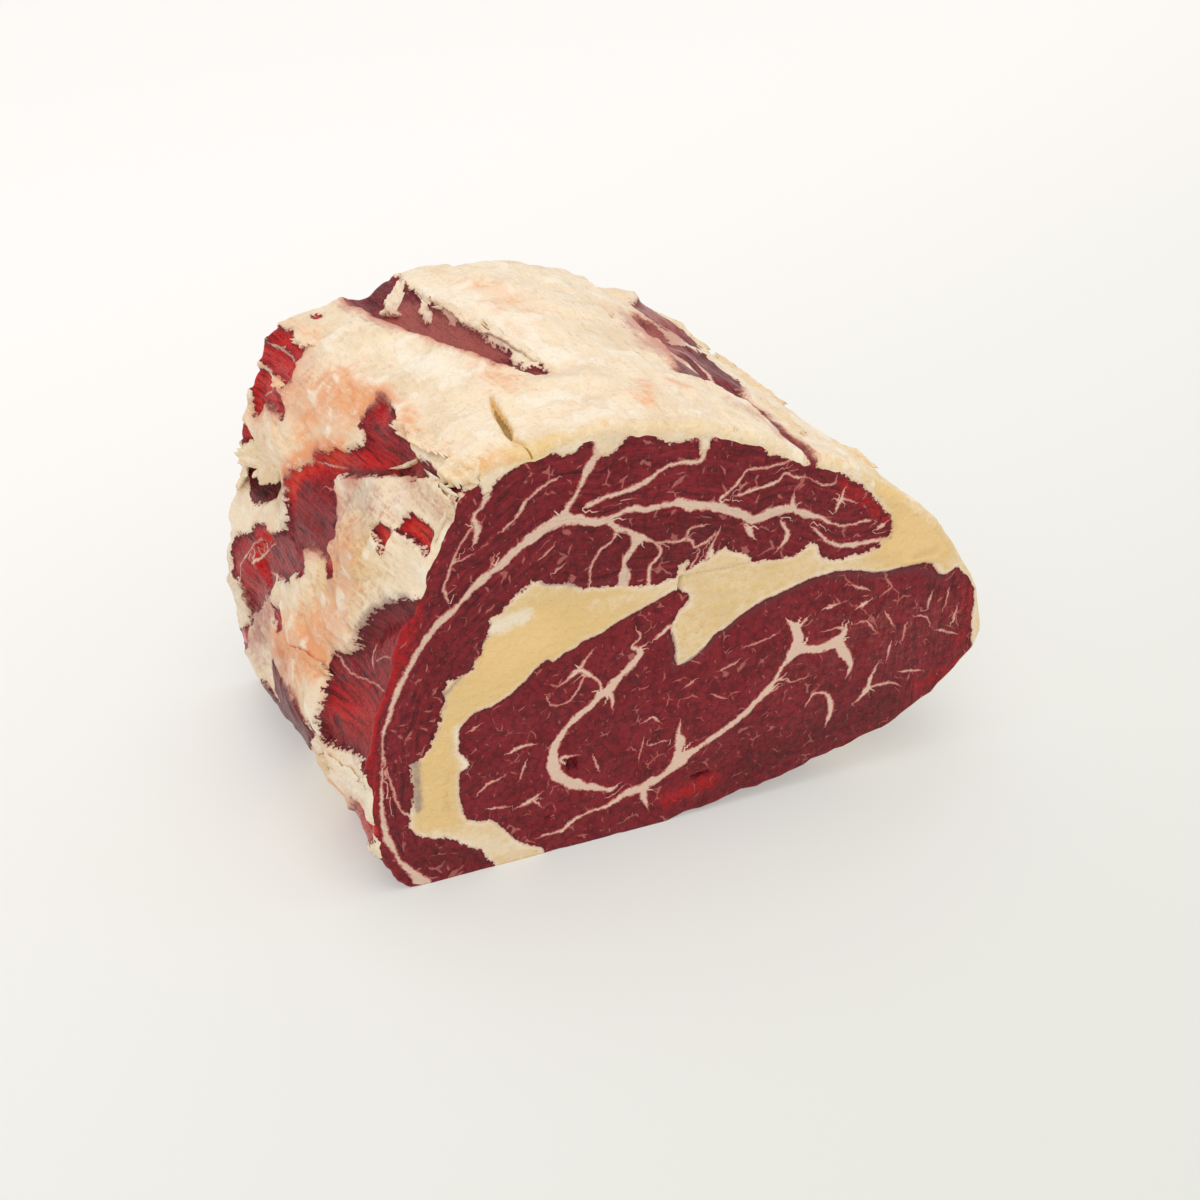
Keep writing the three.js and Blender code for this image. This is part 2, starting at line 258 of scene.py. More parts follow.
# The seams of fat in the lean: (x, z, width) along each one's middle.
ARCH_SEAM = (
    (12.5, 1, 5), (10, 5, 2.5), (6.3, 10.6, 1.6), (4.4, 16.3, 2), (3, 20, 2.4), (2.3, 27, 1.7),
    (2.3, 33, 1.3), (2.8, 41.3, 1), (3.6, 50, 0.9), (4, 55, 1.2), (5.9, 59.4, 1.4), (6.9, 63, 1.7),
    (8.4, 66.9, 2), (10, 70, 2), (13.1, 75, 2), (15, 78, 2), (18.8, 83, 2), (21.3, 86, 2.2),
    (24.4, 88, 2.2), (27.5, 90.6, 2.2), (30.6, 93.8, 2.3), (33.8, 96.3, 2.4), (37.5, 98.4, 2.5),
    (41.3, 101.6, 2.8), (45, 103.8, 3), (48.8, 106.3, 3.2), (52.5, 108.4, 3.4), (56.3, 109, 3.8),
    (60, 108.4, 3.5), (63.8, 106.9, 2.8), (66.3, 106.3, 2.5), (71, 107.5, 1.8), (75, 108.3, 2),
    (80, 107, 2.3), (85, 107.1, 2), (89.5, 107, 3.2), (92.5, 105.8, 3.4), (97.5, 104.7, 3),
    (101.3, 103, 3.2), (105, 101.2, 3), (108.8, 98.8, 2.8), (112, 96.9, 3.3), (117.5, 98, 3.2),
    (122.5, 98, 2.8), (126.3, 96, 2.3), (130, 93.9, 2.3), (133.8, 92, 2), (137.5, 89.5, 1.2),
    (141.3, 88, 1), (149, 88.2, 1.3))
CAP_SEAMS = {
    "arch": ARCH_SEAM,
    "inner tail of the arch": ((12.6, 20.6, 0.8), (9.7, 25.6, 1), (8.1, 26.9, 0.9), (6.9, 30, 0.9),
        (5.9, 33.8, 0.8), (5.3, 37.5, 0.8), (4.4, 41.3, 0.8), (3.9, 45, 0.8), (3.6, 50, 0.8)),
    "broad branch": ((68, 130, 9), (66, 126.5, 4), (63.5, 122.5, 2.8), (62, 119.5, 1.8), (60, 116, 1.6),
        (57.5, 112.5, 2), (56, 110, 3)),
    "ray": ((63, 111.7, 1.6), (68, 113, 1.5), (73, 113.6, 1.5), (77.5, 114.5, 1.6), (81.9, 116.2, 1.6),
        (84.4, 118, 1.2), (90, 118.9, 1.5), (95.6, 118.4, 1.8), (96.6, 121, 2.2), (96.6, 124.5, 2.8)),
    "left ray": ((39.7, 110, 1), (42.5, 112, 1.1), (44.4, 113.9, 1.1), (45.6, 116.4, 1.1),
        (48.8, 118.9, 1.1), (51.3, 120.4, 1.1), (54.4, 121.4, 0.8)),
    "shoulder": ((35.6, 120.4, 2), (33.8, 117.6, 1.4), (31.6, 115, 1.4), (32.5, 112, 2.2),
        (32.2, 109.5, 1.4), (31.6, 107.6, 1)),
    "long thread": ((23.8, 92, 0.8), (22.8, 95.6, 0.8), (24.4, 99.5, 0.8), (25.3, 102.6, 0.9),
        (27.5, 107.6, 0.8), (31, 112, 1)),
    "thread's branch": ((25, 102.3, 0.7), (30, 103.9, 0.6)),
    "thread by the arch": ((36, 98.8, 1.2), (36.6, 101.9, 0.5)),
    "upper right ray": ((101.9, 105.8, 1.4), (105, 108, 1.2), (107.5, 110, 1.2), (109.4, 112.3, 1),
        (113.8, 112.3, 1), (118.8, 112, 0.9), (122.5, 112.6, 0.6)),
    "lower right ray": ((107, 105.6, 1), (110, 106, 1.2), (115, 106.4, 1.2), (119.4, 107.3, 1.3),
        (121.3, 108.9, 1), (125, 107, 1.1), (127.5, 106.4, 0.6)),
    "spur on the arch": ((124, 98, 2.4), (124, 100, 1.3), (124.2, 102.5, 0.6)),
    "squiggle": ((130, 105, 0.7), (132.5, 103.2, 0.7), (137, 102.6, 0.7), (137.5, 104, 0.6)),
    "star": ((139.9, 99, 1.1), (139, 96.6, 1.9), (138.1, 94, 1)),
    "star's arm": ((138.6, 97.2, 1.3), (140.6, 96.8, 1.3), (143, 95.5, 0.9)),
    "lower line": ((131.3, 89.5, 1), (134.4, 85.8, 1.2), (138, 82.8, 1.5), (142.5, 81.4, 1.8),
        (149, 81, 1.6), (154.5, 80.8, 1.4)),
    "blob at the end": ((152.4, 85, 1.4), (153.6, 85.6, 1.4)),
    "trunk": ((69.5, 105.5, 2), (71.9, 102.8, 2.5), (74.4, 101.9, 1.6), (76.9, 98.8, 3.5),
        (76.6, 96.6, 2.5), (74.4, 93.8, 2.5), (73.5, 91, 2), (73.8, 88.5, 3.8), (73.5, 85.5, 3),
        (73.4, 83.5, 3)),
    "trunk's left arm": ((71, 101.5, 1.2), (70, 99.4, 1), (66.3, 97.2, 0.9), (65, 95, 0.8), (64, 92.5, 0.9),
        (63.6, 90, 0.8), (63.5, 87.5, 1)),
    "trunk's right arm": ((77.5, 99, 3), (80, 98, 1.8), (82.5, 96.6, 1), (86.3, 96, 1), (90, 95, 1.3),
        (91.9, 95.3, 1.2), (93.8, 93.8, 1), (94.7, 91.9, 0.9), (98, 93, 0.9), (100, 95, 0.7)),
    "thread above it": ((91.5, 95.5, 1.1), (92.5, 98.4, 1.1), (95, 99.1, 1), (96.9, 98.9, 0.7)),
    "loop": ((82.5, 96.4, 1.2), (84.4, 93.4, 1.3), (83, 91.3, 1.2), (81.3, 89.4, 1.3), (81, 86.3, 1.5),
        (81, 83.5, 1.8)),
    "right of the loop": ((110, 94.5, 1.2), (111, 93, 2.2), (112, 91.5, 1.4)),
    "hook": ((121.3, 93.4, 1.3), (122.8, 90.6, 1.6), (122.5, 88, 2.2), (120.3, 85.6, 1)),
    "fleck left of the trunk": ((50.4, 99.4, 0.8), (52.8, 101.6, 0.7)),
    "second fleck": ((54, 94.2, 1), (55.4, 95, 0.8)),
    "comb's first tooth": ((93.8, 86, 1), (96, 90, 0.7)),
    "comb's long tooth": ((98, 86, 1.6), (99.6, 91, 1), (101.5, 95.5, 0.7)),
}
EYE_SEAMS = {
    "long seam": ((48, 6.4, 0.6), (52, 6.9, 1), (55, 6.8, 1.5), (57, 8.5, 1.4), (60, 10, 1.3),
        (65, 10.6, 1.3), (70, 11.9, 1.8), (73.8, 13.8, 2.5), (78.8, 14.4, 3.6), (83.8, 16.3, 2.8),
        (87.5, 17.8, 2.8), (90.6, 20, 3.5), (93, 22.2, 4), (96.3, 24, 2.6), (100, 25.9, 2.3),
        (103.8, 27.8, 2.3), (107.5, 30, 2.3), (111.3, 33, 2.5), (115, 36.3, 2.2), (118, 38.8, 2.5),
        (120.6, 41.9, 2), (122.5, 45.6, 1.8), (124.4, 48, 2.2), (127, 51.6, 4.2), (127.4, 55, 3.6),
        (126.8, 58, 2.8), (125, 60.4, 1.6)),
    "hub's upper twig": ((127.3, 57.5, 1.8), (130.3, 60.3, 0.8)),
    "hub": ((127, 51.4, 4), (130, 50.6, 3.5), (133.8, 49.7, 3.2), (137.5, 49.7, 3.5), (140, 50, 4),
        (142.3, 47.2, 4), (144.4, 43.8, 3.2), (145.6, 40.6, 2), (145, 38, 1)),
    "hub's right twig": ((140.6, 50.6, 2.8), (141.9, 51.9, 2.4), (143, 54.4, 1.8)),
    "twig's end": ((143, 54.4, 1.2), (140.3, 55.3, 0.9), (136.6, 55, 0.7)),
    "spur down": ((80, 14, 3), (80.6, 10.6, 2.3), (81.6, 7.5, 1)),
    "spur up": ((90.8, 21, 3.4), (91.3, 25, 3), (91.4, 28, 3.3), (91, 31.3, 1.8), (91, 34.6, 0.9)),
    "twig beside the seam": ((118.4, 38, 0.8), (122, 39.4, 0.6)),
    "thread to the right": ((122, 42, 0.9), (124.5, 41.5, 0.6), (125, 40.3, 0.6), (131, 40.6, 0.6)),
    "hook seam": ((78, 68.8, 0.8), (78.8, 66.9, 0.9), (76.3, 64.4, 1.2), (78, 63, 1.8), (78.8, 61.4, 2),
        (76.9, 58.8, 2.4), (73.8, 56.3, 2.4), (70, 52.7, 3.2), (66.9, 50.6, 3.4), (63.8, 47.8, 2.2),
        (59.4, 45, 2.4), (55.9, 41.3, 2.6), (53.1, 36.9, 3), (52.3, 32.5, 4), (53.5, 27.5, 4),
        (56, 24.2, 3.8), (59.4, 21.6, 3.8), (63.8, 19.6, 2.6), (67.5, 17.8, 2), (70.6, 16.9, 2.2),
        (71.9, 17.6, 1)),
    "hook's twig": ((78, 63, 1.6), (80.3, 63.8, 0.8)),
    "hook's branch": ((66.9, 51.6, 2), (66.6, 54.4, 1.3), (64.4, 57.5, 1.6), (60.6, 60.3, 1.8),
        (57, 58.6, 1.2), (55, 57.5, 0.7)),
    "branch's end": ((60.6, 60.3, 1.4), (63, 63.8, 1), (64.5, 65.3, 0.7)),
    "loop in the corner": ((61.9, 58, 0.7), (58, 51.5, 0.7), (55, 50.8, 0.7), (52, 51.5, 0.7),
        (51, 53.8, 0.7)),
    "spur under the hook": ((69, 51.5, 2), (69.5, 50, 1.8), (70.3, 47.5, 1.2), (70.3, 45.3, 0.6)),
    "hook's lower twig": ((55, 32.2, 1.2), (59, 32, 0.8)),
    "wedge's twig": ((83.8, 65.3, 1.4), (87.5, 68.4, 1.8)),
    "long fleck": ((40, 38.7, 1.1), (43, 39.6, 1.4), (46, 39.5, 0.9)),
    "lower fleck": ((34, 20.7, 1.1), (38, 20.3, 0.8)),
    "corner star": ((42, 19, 1), (45, 20, 1.5), (48, 21.5, 0.8)),
    "star's foot": ((46, 20.4, 1.2), (48, 18, 0.8)),
    "left thread": ((30.6, 27.5, 0.8), (33, 29.5, 1), (36.5, 30.5, 0.7)),
    "left thread up": ((42.5, 29, 0.7), (44, 33, 0.8)),
    "upper left dash": ((29, 49, 0.8), (31, 50, 0.7)),
    "dash by the fascia": ((80.5, 38, 0.8), (82.5, 38.8, 1), (84.5, 37, 0.7)),
    "middle dash": ((102, 41.5, 0.7), (104.5, 40.2, 0.7)),
    "upper dash": ((103.8, 50, 0.7), (108, 51.5, 0.8)),
    "small v": ((95, 48, 0.8), (93, 47, 0.7)),
    "dash in the bowl": ((82, 29.4, 0.7), (87, 29.4, 0.7)),
    "thread in the bowl": ((78.8, 26, 0.7), (80, 31, 0.7)),
    "dash by the hook": ((65, 29, 0.8), (66, 25.5, 0.7)),
    "long fine thread": ((111, 56, 0.5), (120, 57.5, 0.6)),
    "claw": ((133.8, 34, 0.9), (136.6, 33.4, 1.2), (138.8, 31.9, 1.2), (140, 29.4, 1.6), (140.3, 25, 2),
        (139.4, 21.3, 0.8)),
    "claw's thumb": ((132.2, 31.3, 0.8), (133.8, 34, 0.8)),
    "right y": ((154.7, 38, 0.8), (152.8, 33.8, 1.8), (151.9, 30, 2.2), (148.8, 26.9, 1)),
    "right y's arm": ((153, 31, 1), (160, 30.3, 0.9), (163, 28.7, 0.7)),
    "right dash": ((164.4, 33, 1.2), (170, 32, 0.8)),
    "right stroke": ((158.5, 44, 1), (158, 40, 0.7)),
    "far right dash": ((175.6, 44.7, 0.8), (180.6, 42.5, 1)),
    "right hook": ((167.5, 51.9, 0.8), (170, 51.3, 0.9), (172, 48, 0.7)),
    "upper stroke": ((157, 55, 0.9), (158.5, 52, 0.8)),
    "upper hook": ((148, 55, 0.8), (150, 55, 0.8), (152.5, 51.5, 0.6)),
    "upper arc": ((157, 66, 0.6), (158, 64, 0.7), (155.6, 62.5, 0.6)),
    "upper blob": ((148.4, 60.4, 1.8), (149.8, 60.9, 1.4)),
    "second blob": ((137.4, 62.5, 1.6), (139, 62.7, 1.2)),
    "right streak": ((177.5, 57, 1), (176.5, 53, 0.9)),
    "top dash": ((145, 67.5, 0.8), (149.7, 65.3, 0.7)),
    "far streak": ((163.5, 49, 0.9), (162.6, 45.4, 0.7)),
    "second far streak": ((171.5, 58, 0.8), (170.6, 54.5, 0.8)),
    "third far streak": ((181, 51, 0.8), (180, 47, 0.9)),
}

SEAM_REACH = 7      # a seam is noted this far from it
NO_SEAM = 20        # and further off, this stands for its distance

# Soft tints of the cut: what it is, the middle line of the tinted place, its half width and its strength.
CUT_TINTS = {
    "deep yellow in the kernel": ("warm", ((38, 73), (47, 76)), 8, 0.6),
    "yellow of the kernel": ("warm", ((30, 62), (70, 79)), 14, 0.4),
    "yellow of the arm": ("warm", ((18, 50), (18, 22)), 7, 0.45),
    "yellow of the wedge": ("warm", ((96, 66), (120, 77)), 9, 0.12),
    "warm knot by the eye": ("warm", ((165, 72), (172, 73)), 4, 0.9),
    "warm end of the cap": ("warm", ((160, 82), (172, 84)), 10, 0.9),
    "warm under the crown": ("warm", ((40, 129), (130, 115)), 4, 0.45),
    "white smear on the kernel": ("chalk", ((36, 80), (45, 82)), 3, 0.8),
    "white edge of the arm": ("chalk", ((25, 50), (27, 38)), 2.5, 0.7),
    "white foot of the arm": ("chalk", ((16, 16), (40, 5)), 5, 0.45),
    "white of the right arm": ("chalk", ((66, 80), (88, 81)), 4, 0.35),
    "glassy strip on the arm": ("dusk", ((12.4, 27), (12.4, 43)), 1.5, 0.9),
    "brown edge under the wedge": ("dusk", ((92, 54.6), (100, 59.4), (108, 64.6), (124, 70.6), (138, 72.8)),
        0.9, 1),
    "brown edge over the eye": ("dusk", ((140, 72.2), (152, 69.6), (166, 68.2), (174, 63.4)), 1.3, 1),
    "brown side of the wedge": ("dusk", ((87.8, 66), (88.6, 60), (89, 53)), 0.9, 1),
    "brown over the kernel": ("dusk", ((50, 91), (56, 89.6), (62, 87.6), (72, 86.4)), 1.0, 0.8),
    "brown left of the kernel": ("dusk", ((21, 62), (28, 68.6), (33, 77)), 0.8, 0.7),
    "wet red by the foot": ("fresh", ((88, 8), (102, 11)), 4, 0.5),
    "wet red at the left edge": ("fresh", ((0, 30), (1, 60)), 2.5, 0.4),
    "red of the cap by the skin": ("fresh", ((6, 68), (14, 88)), 3.5, 0.5),
    "red at the right end": ("fresh", ((184, 40), (184.5, 56)), 3.5, 0.35),
    "red at the lower right": ("fresh", ((170, 26), (184, 31)), 3, 0.4),
    "red right end of the cap": ("fresh", ((140, 101), (154, 88)), 4, 0.45),
    "peach on the arch": ("blush", ((13, 74), (16, 79)), 2.2, 1.0),
    "dark of the cap's middle": ("deep", ((60, 98), (100, 97)), 10, 0.35),
    "dark foot of the eye": ("deep", ((112, 12), (158, 22)), 10, 0.5),
    "dark foot of the cap": ("deep", ((14, 10), (28, 5)), 6, 0.4),
    "pale middle of the eye": ("deep", ((100, 45), (165, 50)), 20, -0.3),
    "pink of the eye": ("film", ((130, 50), (172, 50)), 16, 0.22),
}
KERNEL_WARMTH, TOP_OF_THE_KERNEL = 0.62, (110, 96)

# What is noted at each place of the meat: its depth in fat, how ragged the fat's edge is, the seam beside
# it (side, gap, half width), its marbling, the readings along and across its fibres, how much they show,
# and tints.
TRAITS = (
    "fat", "fray", "side", "gap", "half", "marbled", "along", "across", "fibre", "fresh", "deep", "dusk",
    "blush", "warm", "chalk", "film", "thin")


def inside(ring, across, up):
    """How deep each place lies inside a closed ring, in millimetres, and negative outside it. A place is
    inside if a ray from it to the right crosses the ring an odd number of times."""
    ring = np.asarray(ring, float)
    ring = np.vstack([ring, ring[:1]])
    odd = np.zeros(len(across), bool)
    for (x0, z0), (x1, z1) in zip(ring[:-1], ring[1:]):
        if z0 != z1:
            odd ^= ((z0 > up) != (z1 > up)) & (across < x0 + (up - z0) * (x1 - x0) / (z1 - z0))
    return np.where(odd, 1, -1) * nearest_on(ring, across, up)[0]


def add_seams(traits, seams, across, up):
    """Notes, for each place, how far it is from the seam that it is deepest in or nearest to, on which side
    of it, and that seam's half width there."""
    for seam in seams.values():
        line = smooth_curve(seam, steps=4)
        low, high = line[:, :2].min(0) - SEAM_REACH, line[:, :2].max(0) + SEAM_REACH
        near = np.flatnonzero((across > low[0]) & (across < high[0]) & (up > low[1]) & (up < high[1]))
        if len(near):
            gap, side, _, width = nearest_on(line, across[near], up[near])
            better = gap - width / 2 < traits["gap"][near] - traits["half"][near]
            for trait, found in (("gap", gap), ("side", side), ("half", width / 2)):
                traits[trait][near[better]] = found[better]


def add_tints(traits, tints, across, up):
    """Adds each tint's strength times exp(-d^2), where d counts the distance to its line in its half
    width."""
    for trait, line, half, strength in tints.values():
        traits[trait] += strength * np.exp(-((nearest_on(line, across, up)[0] / half) ** 2))


def cut_traits(x, z):
    """What the meat is at each place of the cut. In the cap muscle the fibres follow the arch, so their
    readings are the place's distance from the arch's seam and the seam's own reading; elsewhere they are x
    and z."""
    traits = {trait: np.zeros(len(x)) for trait in TRAITS}
    in_cap, in_eye = inside(CAP_MUSCLE, x, z), inside(EYE_MUSCLE, x, z)
    in_arch = in_cap > in_eye
    traits["fat"] = -np.maximum(in_cap, in_eye)
    traits["gap"] += NO_SEAM
    add_seams(traits, CAP_SEAMS, x, z)
    add_seams(traits, EYE_SEAMS, x, z)
    _, off_arch, along_arch, _ = nearest_on(smooth_curve(ARCH_SEAM, steps=3), x, z)
    traits["along"] = np.where(in_arch, along_arch, z)
    traits["across"] = np.where(in_arch, off_arch, x)
    for trait in CAP_LOOK:
        traits[trait] += np.where(in_arch, CAP_LOOK[trait], EYE_LOOK[trait])
    traits["fibre"] += np.where(in_arch, 0, NOSE_FIBRE * smoothstep(*NOSE_OF_THE_EYE, x))
    traits["warm"] += KERNEL_WARMTH * smoothstep(0, 2, traits["fat"]) * smoothstep(*TOP_OF_THE_KERNEL, z)
    add_tints(traits, CUT_TINTS, x, z)
    traits["fibre"] *= smoothstep(1.5, 0.3, traits["fat"])
    return traits


# ------------------------------------------------------------------------------------------------------------
# The outside of the block. It is fat and torn skin with bare meat showing through: a channel of red meat
# under the cap, the flank's bundles, and two strips along the top. The chine and rib sides are lean where
# the bones came off.

# Where bare meat shows: its ring of (round, back), how deep it lies under the fat, its fresh and dusky
# tints.
BARE_MEAT = {
    "meat beside the face": (((45.6, -4), (45, 6), (43.8, 13.8), (41.5, 20), (40, 26), (38.5, 30), (43, 31),
        (47, 30.4), (52.5, 28.6), (57.5, 30.5), (62.5, 34.6), (64.8, 32.5), (67, 26.5), (70.6, 22.4),
        (77.5, 20.2), (84, 18.4), (88.6, 16.4), (92, 12.8), (95.5, 8.5), (98.4, 4), (100.5, -4)), 1.3, 0.3,
        0.0),
    "channel under the cap": (((92, 79.6), (97, 80.2), (103, 77.6), (107, 73.8), (111.4, 70.5),
        (114.4, 66.4), (116.8, 61.2), (120, 55), (122.6, 52.6), (126, 54), (128.4, 58.6), (131.5, 60.8),
        (134, 58.6), (137.6, 59.8), (138.6, 56), (137.4, 51.5), (137.2, 46.8), (135.6, 42), (134.8, 36.6),
        (132, 31.6), (130.4, 27), (131, 20), (130.8, 12), (131.8, 4), (132.4, -3), (130.2, -3), (130, 6),
        (128.6, 13), (127, 20), (124.2, 27), (121.6, 33), (118.6, 38), (116.4, 42), (114.6, 46.5),
        (112.2, 52.4), (109.6, 57.8), (107, 59.4), (103.6, 55.6), (100.6, 53.4), (99.6, 49), (97.2, 45.6),
        (94.6, 46.8), (92.6, 50.4), (90.4, 49.5), (89.6, 44), (89.4, 40.6), (86.2, 39.6), (85, 41),
        (87, 47.5), (86.4, 53), (85, 60.6), (83.2, 63.6), (81.6, 59), (79.6, 55.4), (76.4, 55.6),
        (74.4, 59.4), (74.6, 64), (71.2, 63.8), (68.6, 68), (66.2, 73.6), (64.6, 78.4), (60.4, 77.2),
        (57.2, 79.4), (58.4, 86), (58, 92.4), (61, 97.4), (66, 96.2), (70.6, 91), (75.4, 85.6),
        (79.2, 79.6), (83.8, 76.6), (88.6, 78.4)), 1.3, 0.36, 0.0),
    "small red shred": (((51.8, 66.4), (54.4, 70.4), (56.4, 78), (57.6, 72.6), (58.8, 68.6), (56, 65.4)),
        0.6, 0.9, 0),
    "flank meat at the back": (((36.4, 97.4), (42, 99), (47.4, 101.4), (49.8, 105), (50.4, 111.6),
        (53, 113.4), (60, 112.6), (64.4, 107.6), (67.6, 101.4), (72.6, 96.4), (74.6, 91.6), (71, 87),
        (66, 88.4), (61, 84), (56, 83), (51, 87), (46.4, 91), (40.6, 94)), 0.9, 0.55, 0.1),
    "dark bundle": (((4.6, 75), (8.4, 69.4), (14, 61.8), (20, 51.6), (25.4, 44.6), (30.6, 42), (36.6, 42.2),
        (40.2, 46.4), (40.4, 54), (37.6, 62.4), (34.4, 69.4), (37.4, 76), (33.8, 79.2), (27.4, 78),
        (20.6, 79.6), (22.6, 86), (19.6, 94), (14.4, 103), (10.2, 112), (7.4, 124), (1.5, 124), (2.6, 104),
        (2.4, 88)), -0.7, 0.0, 0.75),
    "orange streak on the bundle": (((16.6, 124), (19.4, 114), (23.6, 105.4), (28.4, 98.6), (34, 94.6),
        (37.6, 97.4), (32.4, 103), (26.4, 111), (21.4, 124)), 0.3, 1.2, 0.0),
    "pink strip": (((-6, 36), (1.4, 41.4), (6.4, 37.6), (13.6, 27.4), (20, 19.8), (27, 12.6), (29, 9),
        (26, 4.4), (21.4, 2.4), (15.4, 8.6), (9.4, 15), (3.6, 19.6), (-6, 22)), 0.5, 0.9, 0.0),
    "toe": (((-12, -4), (-12, 17), (-4, 19), (1.4, 19.4), (5.6, 18), (9.4, 11.6), (14, 4.4), (18.4, -4)),
        0.4, 0.2, 0.1),
    "red bit over the toe": (((22, -2), (23, 5), (25.4, 9.4), (28, 6), (28.4, -2)), 0.5, 1.0, 0.0),
    "dark nick": (((30.6, 24.4), (30.4, 31), (32.4, 35.4), (35.4, 33), (33.6, 27)), 0.9, 0.0, 0.6),
    "long thread of meat": (((28, 42.4), (33.4, 38.6), (38.6, 33.8), (42.4, 35.4), (36.6, 39.4),
        (30.4, 43.6)), 0.3, 0.7, 0),
    "red flap by the face": (((110.8, 2.6), (112.2, 9), (110.6, 18.8), (114.4, 19), (117.8, 17.4),
        (118.9, 12), (116.8, 5), (113.4, 2.6)), 1.0, 1.15, 0.0),
    "its second lick": (((102.8, 19.6), (105.4, 22.4), (107, 27.6), (109.4, 25), (110.2, 20.4),
        (106.4, 19.2)), 0.6, 1.3, 0),
    "corner meat, left": (((104, 113.6), (106.6, 117), (110.6, 119), (111, 124), (117.6, 124), (119.8, 117),
        (121, 111.6), (119.8, 105), (118.4, 97.4), (115.6, 93.6), (113, 92), (111.8, 97.4), (112.4, 104.4),
        (110, 108.8), (106, 109.8)), 0.9, 1.0, 0.0),
    "corner meat, middle": (((121.6, 124), (127, 124), (130.6, 112), (130.4, 104.4), (128.4, 97.6),
        (124.4, 95.6), (121.2, 99), (122.4, 106.4), (121, 113)), 0.9, 0.95, 0.0),
    "corner meat, right": (((129.4, 124), (135.4, 124), (135, 117), (137.8, 111.4), (135.6, 106.4),
        (135.8, 101.4), (132, 98.6), (129.4, 100.6), (130.8, 109)), 0.9, 0.9, 0.0),
    "torn hollow": (((76, 102), (76.6, 110), (80.4, 117.4), (85.4, 118), (87, 110.4), (84, 104.4),
        (82.4, 97.6), (78, 98.6)), 0.6, 0.0, 0.6),
    "red behind the hollow": (((92, 114), (95.4, 112.8), (98.6, 116), (99, 124), (91, 124)), 1.0, 0.6, 0.0),
    "red dot": (((144.8, 110.8), (146.4, 109.8), (147.8, 112), (146.6, 114.4), (145, 113.4)), 0.0, 1.6, 0),
    "bare strip in the cap": (((155.6, 124), (156, 113), (156.8, 104), (158.4, 95), (160.8, 87.5),
        (162.6, 77.5), (164, 66), (167, 59.4), (168.4, 52), (170.6, 45.4), (173, 46), (174.6, 50.6),
        (175.8, 55.4), (175.6, 62.5), (174, 70), (172, 80), (171.4, 92.5), (170.4, 103.8), (171, 112.5),
        (170.4, 124)), 0.8, 0.12, 0.3),
    "front end of the strip": (((171.2, 45.2), (173, 41), (174.6, 38), (177.6, 38.4), (180.2, 41.4),
        (179.8, 44.8), (176, 46)), 0.7, 0.05, 0.45),
    "burgundy strip": (((217.5, 38.8), (222.5, 47.5), (226, 57.5), (228.8, 66), (230.4, 73.8), (232.6, 81),
        (236, 87.5), (240.2, 91.6), (242.2, 85), (240.4, 77.5), (239.4, 71.4), (242.4, 73.6), (248.6, 73.6),
        (254.4, 71.4), (257.6, 66), (258, 59.4), (254, 52.4), (248, 48), (244.4, 44.6), (243, 38),
        (244.6, 31), (242.6, 25.4), (240.8, 17), (241, 8), (242, -4), (238.6, -4), (238.2, 8), (237.6, 18),
        (234.6, 24.4), (231.4, 28.4), (231.6, 33), (235.4, 36), (231, 37.6), (226, 36.4)), 0.25, 0.1, 0.35),
    "mauve film beyond it": (((242, 96), (246, 104.6), (252, 110), (258, 120), (272, 122), (268, 110),
        (262.4, 99), (263, 88), (259, 79), (250, 77), (244.6, 84)), 0.0, 0.05, 0.3),
    "chine meat": (((343, 8), (340, 24), (343, 41), (339.6, 58), (342.4, 76), (338.4, 92), (341, 108),
        (344, 115), (352, 117), (361, 113), (366, 116), (378, 110), (381, 96), (376, 84), (382, 70),
        (378, 57), (384, 44), (379.4, 30), (382, 16), (372, 9), (360, 11), (352, 6)), 1.1, 0.1, 0.3),
    "lean by the first rib": (((392, 39), (388, 52), (394, 66), (408, 70), (424, 66), (440, 70), (458, 65),
        (476, 69), (488, 61), (486, 47), (474, 40), (458, 43), (440, 38), (424, 42), (408, 38)), 0.9, 0.1,
        0.35),
    "lean by the second rib": (((398, 96), (394, 108), (404, 124), (430, 124), (470, 124), (492, 112),
        (488, 99), (470, 97), (450, 101), (428, 96), (412, 99)), 0.9, 0.1, 0.4),
    "lean of the foot": (((396, -4), (393, 8), (402, 15), (420, 12), (440, 16), (460, 11), (484, 15),
        (500, 11), (512, 15), (524, 12), (540, 16), (544, -4)), 0.9, 0.15, 0.3),
}

